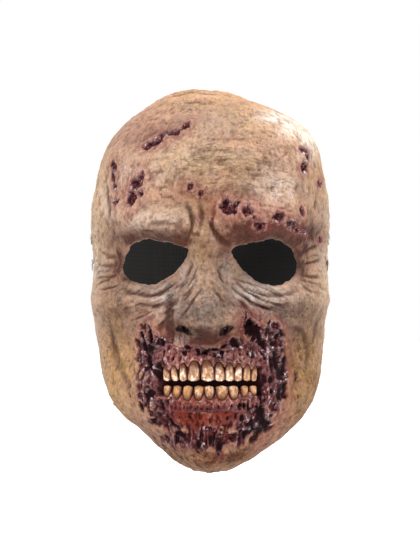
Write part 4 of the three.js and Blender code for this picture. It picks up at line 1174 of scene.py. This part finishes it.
rivetSides = 40
rivetProfile = np.array((  # along the axis from the inner head to the cap, and radius, in shares
    (-1, 0), (-1, 0.3), (-0.93, 0.36), (-0.98, 0.5), (-1, 0.66), (-0.97, 0.86), (-0.9, 0.97), (-0.82, 1),
    (-0.77, 0.95), (-0.77, 0.4), (0.77, 0.4), (0.77, 0.94), (0.8, 1), (0.85, 1), (0.9, 0.93), (0.96, 0.7),
    (0.99, 0.4), (1, 0),
))
rivets = []
for node in sorted(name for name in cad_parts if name.startswith("rivet")):
    low, high = boxOf(node)
    middle, half = (low + high) / 2, (high - low) / 2
    angle = around(rivetSides)
    lengthwise, radius = rivetProfile[:, :1] * half[0], np.maximum(rivetProfile[:, 1:], 0.001) * half[2]
    outward = np.sign(middle[0]) * lengthwise + 0 * angle
    ring = np.stack([outward, radius * np.cos(angle), radius * np.sin(angle)], -1)
    words = node.split("_")
    name = words[0] + "".join(word.capitalize() for word in words[1:])
    faces = tubeFaces(len(ring), rivetSides)
    rivet = newPiece(name, (ring + middle).reshape(-1, 3), faces, None, "rivet_metal", [node])
    recalculate(rivet.data)
    smoothShade(rivet, 40)
    rivets.append(rivet)
print("rivets made")


# Materials. Colours are linear, grains are in millimetres.

tone = {
    "tan": (0.385, 0.238, 0.147), "peach": (0.425, 0.244, 0.155), "tanDark": (0.2, 0.112, 0.066),
    "lilac": (0.26, 0.18, 0.168), "rose": (0.27, 0.108, 0.08), "ochre": (0.375, 0.225, 0.075),
    "grey": (0.128, 0.124, 0.117), "pale": (0.62, 0.58, 0.53), "brush": (0.52, 0.39, 0.29),
    "wash": (0.05, 0.02, 0.013), "speck": (0.03, 0.013, 0.01), "sore": (0.16, 0.035, 0.03),
    "shade": (0.25, 0.17, 0.17), "brick": (0.13, 0.024, 0.018), "plum": (0.04, 0.011, 0.016),
    "pink": (0.21, 0.105, 0.106), "clot": (0.007, 0.001, 0.002), "latex": (0.5, 0.38, 0.25),
    "torn": (0.38, 0.225, 0.18), "red": (0.145, 0.019, 0.006), "gum": (0.27, 0.105, 0.085),
    "glint": (0.62, 0.5, 0.53), "enamel": (0.8, 0.65, 0.54), "amber": (0.36, 0.17, 0.052),
    "root": (0.075, 0.022, 0.01), "stain": (0.16, 0.055, 0.018), "thread": (0.005, 0.005, 0.005),
    "threadLight": (0.02, 0.02, 0.021), "threadDark": (0.004, 0.004, 0.004), "nickel": (0.56, 0.54, 0.5),
    "tarnish": (0.23, 0.19, 0.15),
}


def rawColour(paint, dark):
    # brick red to plum, orange red or pink in places; pink and painted glints as highlights where it stands
    # proud
    # dark is painted shade in the deep places and caves, where the colour goes to near black
    proud, fire, gum, blood = map(paint.layer, ("proud", "fire", "gum", "blood"))
    pinkness = paint.patches(2.2, (0.38, 0.6), 6, 0.65) * 0.8 + 0.2
    ridge = paint.patches(1.9, (0.46, 0.62), 7, 0.75) * (proud * 0.8 + 0.1)
    wetness = paint.patches(14, (0.42, 0.62), 3, 0.6) * 0.8 + 0.45
    paintedGlints = paint.patches(3.2, (0.55, 0.67), 5, 0.65, stretch=(1.2, 1, 0.7)) * (proud * 0.9 + gum * 0.1)
    return paint.coats(
        tone["plum"],
        (paint.patches(2.6, (0.34, 0.62), 8, 0.7), "brick"),
        (fire * (paint.patches(2.4, (0.32, 0.56), 7, 0.7) * 0.6 + 0.4), "red"),
        (gum * pinkness * (1 - fire * 0.7), "gum"),
        (blood * 0.8, "plum"),
        (ridge * (1 - fire * 0.95) * (1 - blood * 0.5), "pink"),
        (dark * 0.94, "clot"),
        (paintedGlints * wetness * (1 - fire * 0.8), "glint"),
        (paint.layer("black"), "clot"),
    )


def fineLines(paint):  # fine lines with their own direction on each part of the face, among a net with none
    ways = (  # layer, grain, stretch, turn, strength
        ("rising", 16, (1, 1, 5), -9, 0.7),
        ("falling", 16, (1, 1, 5), 9, 0.7),
        ("down", 9, (2.6, 2, 1), 12, 0.3),
        ("rayRight", 11, (1, 1, 4.5), -29, 0.8),
        ("rayLeft", 11, (1, 1, 4.5), 27, 0.8),
    )
    total = paint.threads(0.03, 4.5, 7, rough=0.65, warp=0.9) * 0.5
    for name, grain, stretch, turn, strength in ways:
        lines = paint.threads(0.03, grain, 5, rough=0.6, stretch=stretch, turn=turn, warp=0.5)
        total = total + lines * paint.layer(name) * strength
    return paint.step(total, 0, 1)


def latexSkin():
    paint = Paint("paintedLatex", coatRoughness=0.1, coatIor=1.4, specularIorLevel=0.05)
    soot, proud, deep, gore, raw = map(paint.layer, ("soot", "proud", "deep", "gore", "raw"))
    black, noseHoleShade = paint.layer("black"), paint.layer("nostril")
    lines = fineLines(paint)
    grains = (("rose", 5, 0.85), ("ochre", 7, 0.85), ("grey", 6, 0.9), ("pale", 8, 0.85))
    fields = [
        (paint.layer(name) * (paint.patches(grain, (0.3, 0.6), 6, 0.65) * 0.6 + 0.4) * strength, name)
        for name, grain, strength in grains
    ]
    colour = paint.coats(
        tone["tan"],
        (paint.patches(26, (0.4, 0.6), 5, 0.6), "peach"),
        (paint.patches(9, (0.48, 0.66), 7, 0.65) * 0.6, "lilac"),
        *fields,
        # painted highlight, as dry-brushed paint: the crests and the raised parts lighter
        (paint.layer("crest") * (1 - soot) * 0.14, "brush"),
        (paint.patches(1.5, (0.54, 0.72), 8, 0.8) * (proud * 0.6 + 0.22) * (1 - soot * 0.6), "brush"),
        # painted shade in a dark wash: mottle that grows in the painted shade, the speckled shade, and the
        # fine lines as shade in fine wrinkles
        (paint.patches(2.6, (0.5, 0.68), 8, 0.78) * (soot * 0.4 + 0.2), "wash"),
        (paint.layer("grime") * paint.patches(3.4, (0.49, 0.58), 8, 0.78) * 0.8, "wash"),
        (lines * 0.5, "wash"),
    )
    # painted shade, broken up by noise: the broad hollows, the undersides and the painted-shade patches
    # darken the colour
    brokenShade = soot * (paint.patches(5, (0.3, 0.6), 7, 0.7) * 0.5 + 0.6)
    shade = paint.layer("hollow") * 0.26 + paint.layer("under") * 0.45 + brokenShade
    colour = paint.mix(shade, colour, tone["shade"], "MULTIPLY")
    specks = (1 - paint.step(paint.cells(2.4), 0.12, 0.26)) * paint.patches(12, (0.44, 0.58), 3)
    tear = paint.layer("tear") * paint.patches(2, (0.4, 0.6), 4) * 0.6
    colour = paint.coats(
        colour,
        # where the painted shade is strongest it goes on to the speck's dark brown
        (paint.step(brokenShade, 0.5, 1.5) * 0.75, "speck"),
        # painted shade in the creases and the small pits
        (paint.layer("wash") * 0.75, "wash"),
        (deep * 0.6, "wash"),
        (specks * 0.8, "speck"),
        (paint.layer("sore") * paint.patches(2.2, (0.3, 0.6), 6) * 0.75, "sore"),
        (paint.layer("blood") * paint.patches(3, (0.4, 0.6), 6, 0.7) * 0.7, "sore"),
        (paint.layer("lip") * (0.5 - soot * 0.4) + tear, "torn"),
    )
    # a wound: dark clot with plum and brick, and pink and painted glints as painted highlights on its raised
    # parts
    wound = paint.coats(
        tone["clot"],
        (paint.patches(2.6, (0.42, 0.58), 6, 0.7), "plum"),
        (paint.patches(2.1, (0.48, 0.6), 6, 0.7) * 0.8, "brick"),
        (proud * 0.7, "pink"),
        (paint.patches(2.1, (0.58, 0.65), 3, 0.6) * (proud + 0.1), "glint"),
    )
    lining = paint.coats(tone["latex"], (paint.patches(18, (0.5, 0.75), 5) * 0.35, "tanDark"))
    colour = paint.mix(raw, colour, rawColour(paint, deep * 0.8 + paint.layer("cave")))
    colour = paint.coats(paint.mix(gore, colour, wound), (noseHoleShade, "clot"), (black, "clot"))
    colour = paint.mix(paint.layer("inside") * (1 - noseHoleShade), colour, lining)
    wet = gore + raw * (1 - gore) * 0.8
    shine = wet * proud * 0.8 * (1 - black) * (1 - paint.layer("fire") * 0.7)
    paint.set(baseColor=colour, roughness=0.56 - wet * 0.15 + paint.cloud(3, 4) * 0.12, coatWeight=shine)
    height = paint.cloud(1.1, 8, 0.7) + paint.step(paint.cells(0.8), 0, 0.3) * 0.25 - lines * 0.6
    paint.set(normal=paint.bump(height, 0.6, 0.9))
    return paint.material


def wetFlesh():
    paint = Paint("wetFlesh", coatRoughness=0.08, coatIor=1.4, specularIorLevel=0.05)
    dark, proud, fire, black = map(paint.layer, ("dark", "proud", "fire", "black"))
    # painted shade in the deep places and caves
    recessShade = paint.layer("deep") * 0.8 + paint.layer("cave")
    pink = paint.layer("pink") * paint.patches(2.4, (0.35, 0.65), 6)
    # pale beads on the gum ridges, painted highlights
    beads = pink * paint.patches(2, (0.5, 0.62), 4, 0.6) * 0.8
    colour = paint.coats(rawColour(paint, recessShade), (pink * 0.5, "gum"), (beads, "torn"), (dark, "clot"))
    lit = (1 - dark) * (1 - recessShade * 0.9) * (1 - fire * 0.7) * (1 - black)
    shine = (proud * 0.7 + pink * 0.25) * lit
    paint.set(baseColor=colour, roughness=0.36 + paint.cloud(2, 3) * 0.15 + dark * 0.4, coatWeight=shine)
    paint.set(normal=paint.bump(paint.cloud(2.2, 5, 0.6), 0.8, 0.8))
    return paint.material


def stainedEnamel():
    paint = Paint("stainedEnamel", coatRoughness=0.06, specularIorLevel=0.12)
    neck, side = paint.step(paint.layer("toGum"), 0.35, 0.8), paint.step(paint.layer("side"), 0.45, 0.9)
    streaks = paint.patches(2.2, (0.45, 0.57), 7, 0.7, stretch=(1, 1, 0.5))
    colour = paint.coats(
        tone["enamel"],
        (paint.patches(3.2, (0.4, 0.56), 4, 0.6) * 0.9, "amber"),
        (paint.layer("tone") * 0.7, "amber"),
        (streaks * 0.8, "stain"),
        # dark at the neck, and painted shade down each crown's sides, between the teeth
        (neck * 0.96, "root"),
        (side * 0.92, "root"),
    )
    paint.set(baseColor=colour, roughness=0.24 + streaks * 0.2 + neck * 0.3, coatWeight=(1 - neck) * 0.6)
    paint.set(normal=paint.bump(paint.cloud(1.8, 5, 0.6, stretch=(1, 1, 0.45)), 0.45, 0.8))
    return paint.material


def wovenElastic():
    paint = Paint("wovenElastic", specularIorLevel=0.06)
    far, over = (paint.layer(name) * (2 * np.pi) for name in ("alongBand", "acrossBand"))
    rib = paint.curve("SINE", over * (band["ribs"] / band["width"]))
    weft = paint.curve("SINE", far * (1 / band["weft"]))
    braid = paint.curve("SINE", far * (0.5 / band["weft"]) + over * (1 / band["braid"]))
    weave, fuzz = weft * 0.4 + braid * 0.35, paint.cloud(0.5, 4, 0.7)
    # lighter weave, and darker stripes along the ribs as painted shade in their grooves
    light, grooves = paint.step(weave + fuzz, 0.1, 1.3), paint.step(rib, 0.6, 1) * 0.3
    colour = paint.coats(tone["thread"], (light, "threadLight"), (grooves, "threadDark"))
    paint.set(baseColor=colour, roughness=0.78 + fuzz * 0.15)
    paint.set(normal=paint.bump(weave + fuzz * 0.5, 0.18, 0.9))
    return paint.material


def wornNickel():
    paint = Paint("wornNickel", metallic=1)
    wear = paint.patches(1.5, (0.5, 0.7), 6, 0.7)
    colour = paint.coats(tone["nickel"], (wear * 0.6, "tarnish"))
    scratches = paint.cloud(0.7, 5, 0.7, stretch=(1, 6, 1))
    paint.set(baseColor=colour, roughness=0.26 + wear * 0.3 + scratches * 0.1)
    paint.set(normal=paint.bump(scratches, 0.05, 0.6))
    return paint.material


def finishWith(material, *pieces):
    for piece in pieces:
        piece.data.materials.clear()
        piece.data.materials.append(material)


finishWith(latexSkin(), faceSkin)
finishWith(wetFlesh(), gums)
finishWith(stainedEnamel(), upperTeeth, lowerTeeth)
finishWith(wovenElastic(), elastic)
finishWith(wornNickel(), *rivets)
print("materials made")


# The stage: a pale floor under the mask, soft light from the front and a warm edge from the upper right.

stage = {
    "floorDrop": 60, "floorHalf": 6000, "cameraBack": 1800, "axis": -11.2, "imageHeight": 366.8, "sensor": 24,
}
lamps = (  # name, place, size, watts, colour
    ("keyLamp", (-600, -1150, 1200), 330, 28, (1, 0.97, 0.94)),
    ("fillLamp", (800, -1300, 200), 700, 3, (0.95, 0.97, 1)),
    ("edgeLamp", (430, 160, 620), 220, 9, (1, 0.97, 0.9)),
    ("backLamp", (-500, 1300, 700), 900, 4, (1, 1, 1)),
)


def addStage():
    level = skinLow[2] - stage["floorDrop"]
    corners = np.array([(-1, -1, 0), (1, -1, 0), (1, 1, 0), (-1, 1, 0)]) * stage["floorHalf"] + (0, 0, level)
    floor = newPiece("floor", corners, [(0, 1, 2, 3)])
    paint = Paint("paleFloor", baseColor=(0.9, 0.9, 0.9), roughness=0.9)
    paint.set(emissionColor=(1, 1, 1), emissionStrength=0.35)
    finishWith(paint.material, floor)

    for name, place, size, watts, colour in lamps:
        light = bpy.data.lights.new(name, "AREA")
        light.size, light.energy, light.color = size * mm, watts, colour
        lamp = addObject(name, light)
        lamp.location = np.array(place) * mm
        aim = -np.array(place, float)
        lamp.rotation_euler = (np.arctan2(np.hypot(aim[0], aim[1]), -aim[2]), 0, np.arctan2(-aim[0], aim[1]))

    world = bpy.data.worlds.new("paleWorld")
    world.use_nodes = True
    world.node_tree.nodes["Background"].inputs["Color"].default_value = (1, 1, 1, 1)
    world.node_tree.nodes["Background"].inputs["Strength"].default_value = 1.0
    bpy.context.scene.world = world


def addCamera():
    lens = bpy.data.cameras.new("camera")
    lens.sensor_fit, lens.sensor_height = "VERTICAL", stage["sensor"]
    lens.lens = stage["sensor"] * stage["cameraBack"] / stage["imageHeight"]
    camera = addObject("camera", lens)
    camera.location = np.array((0, -stage["cameraBack"], stage["axis"])) * mm
    camera.rotation_euler = (np.pi / 2, 0, 0)
    bpy.context.scene.camera = camera


addStage()
addCamera()
bpy.context.scene.view_settings.view_transform = "Standard"
print("stage made")
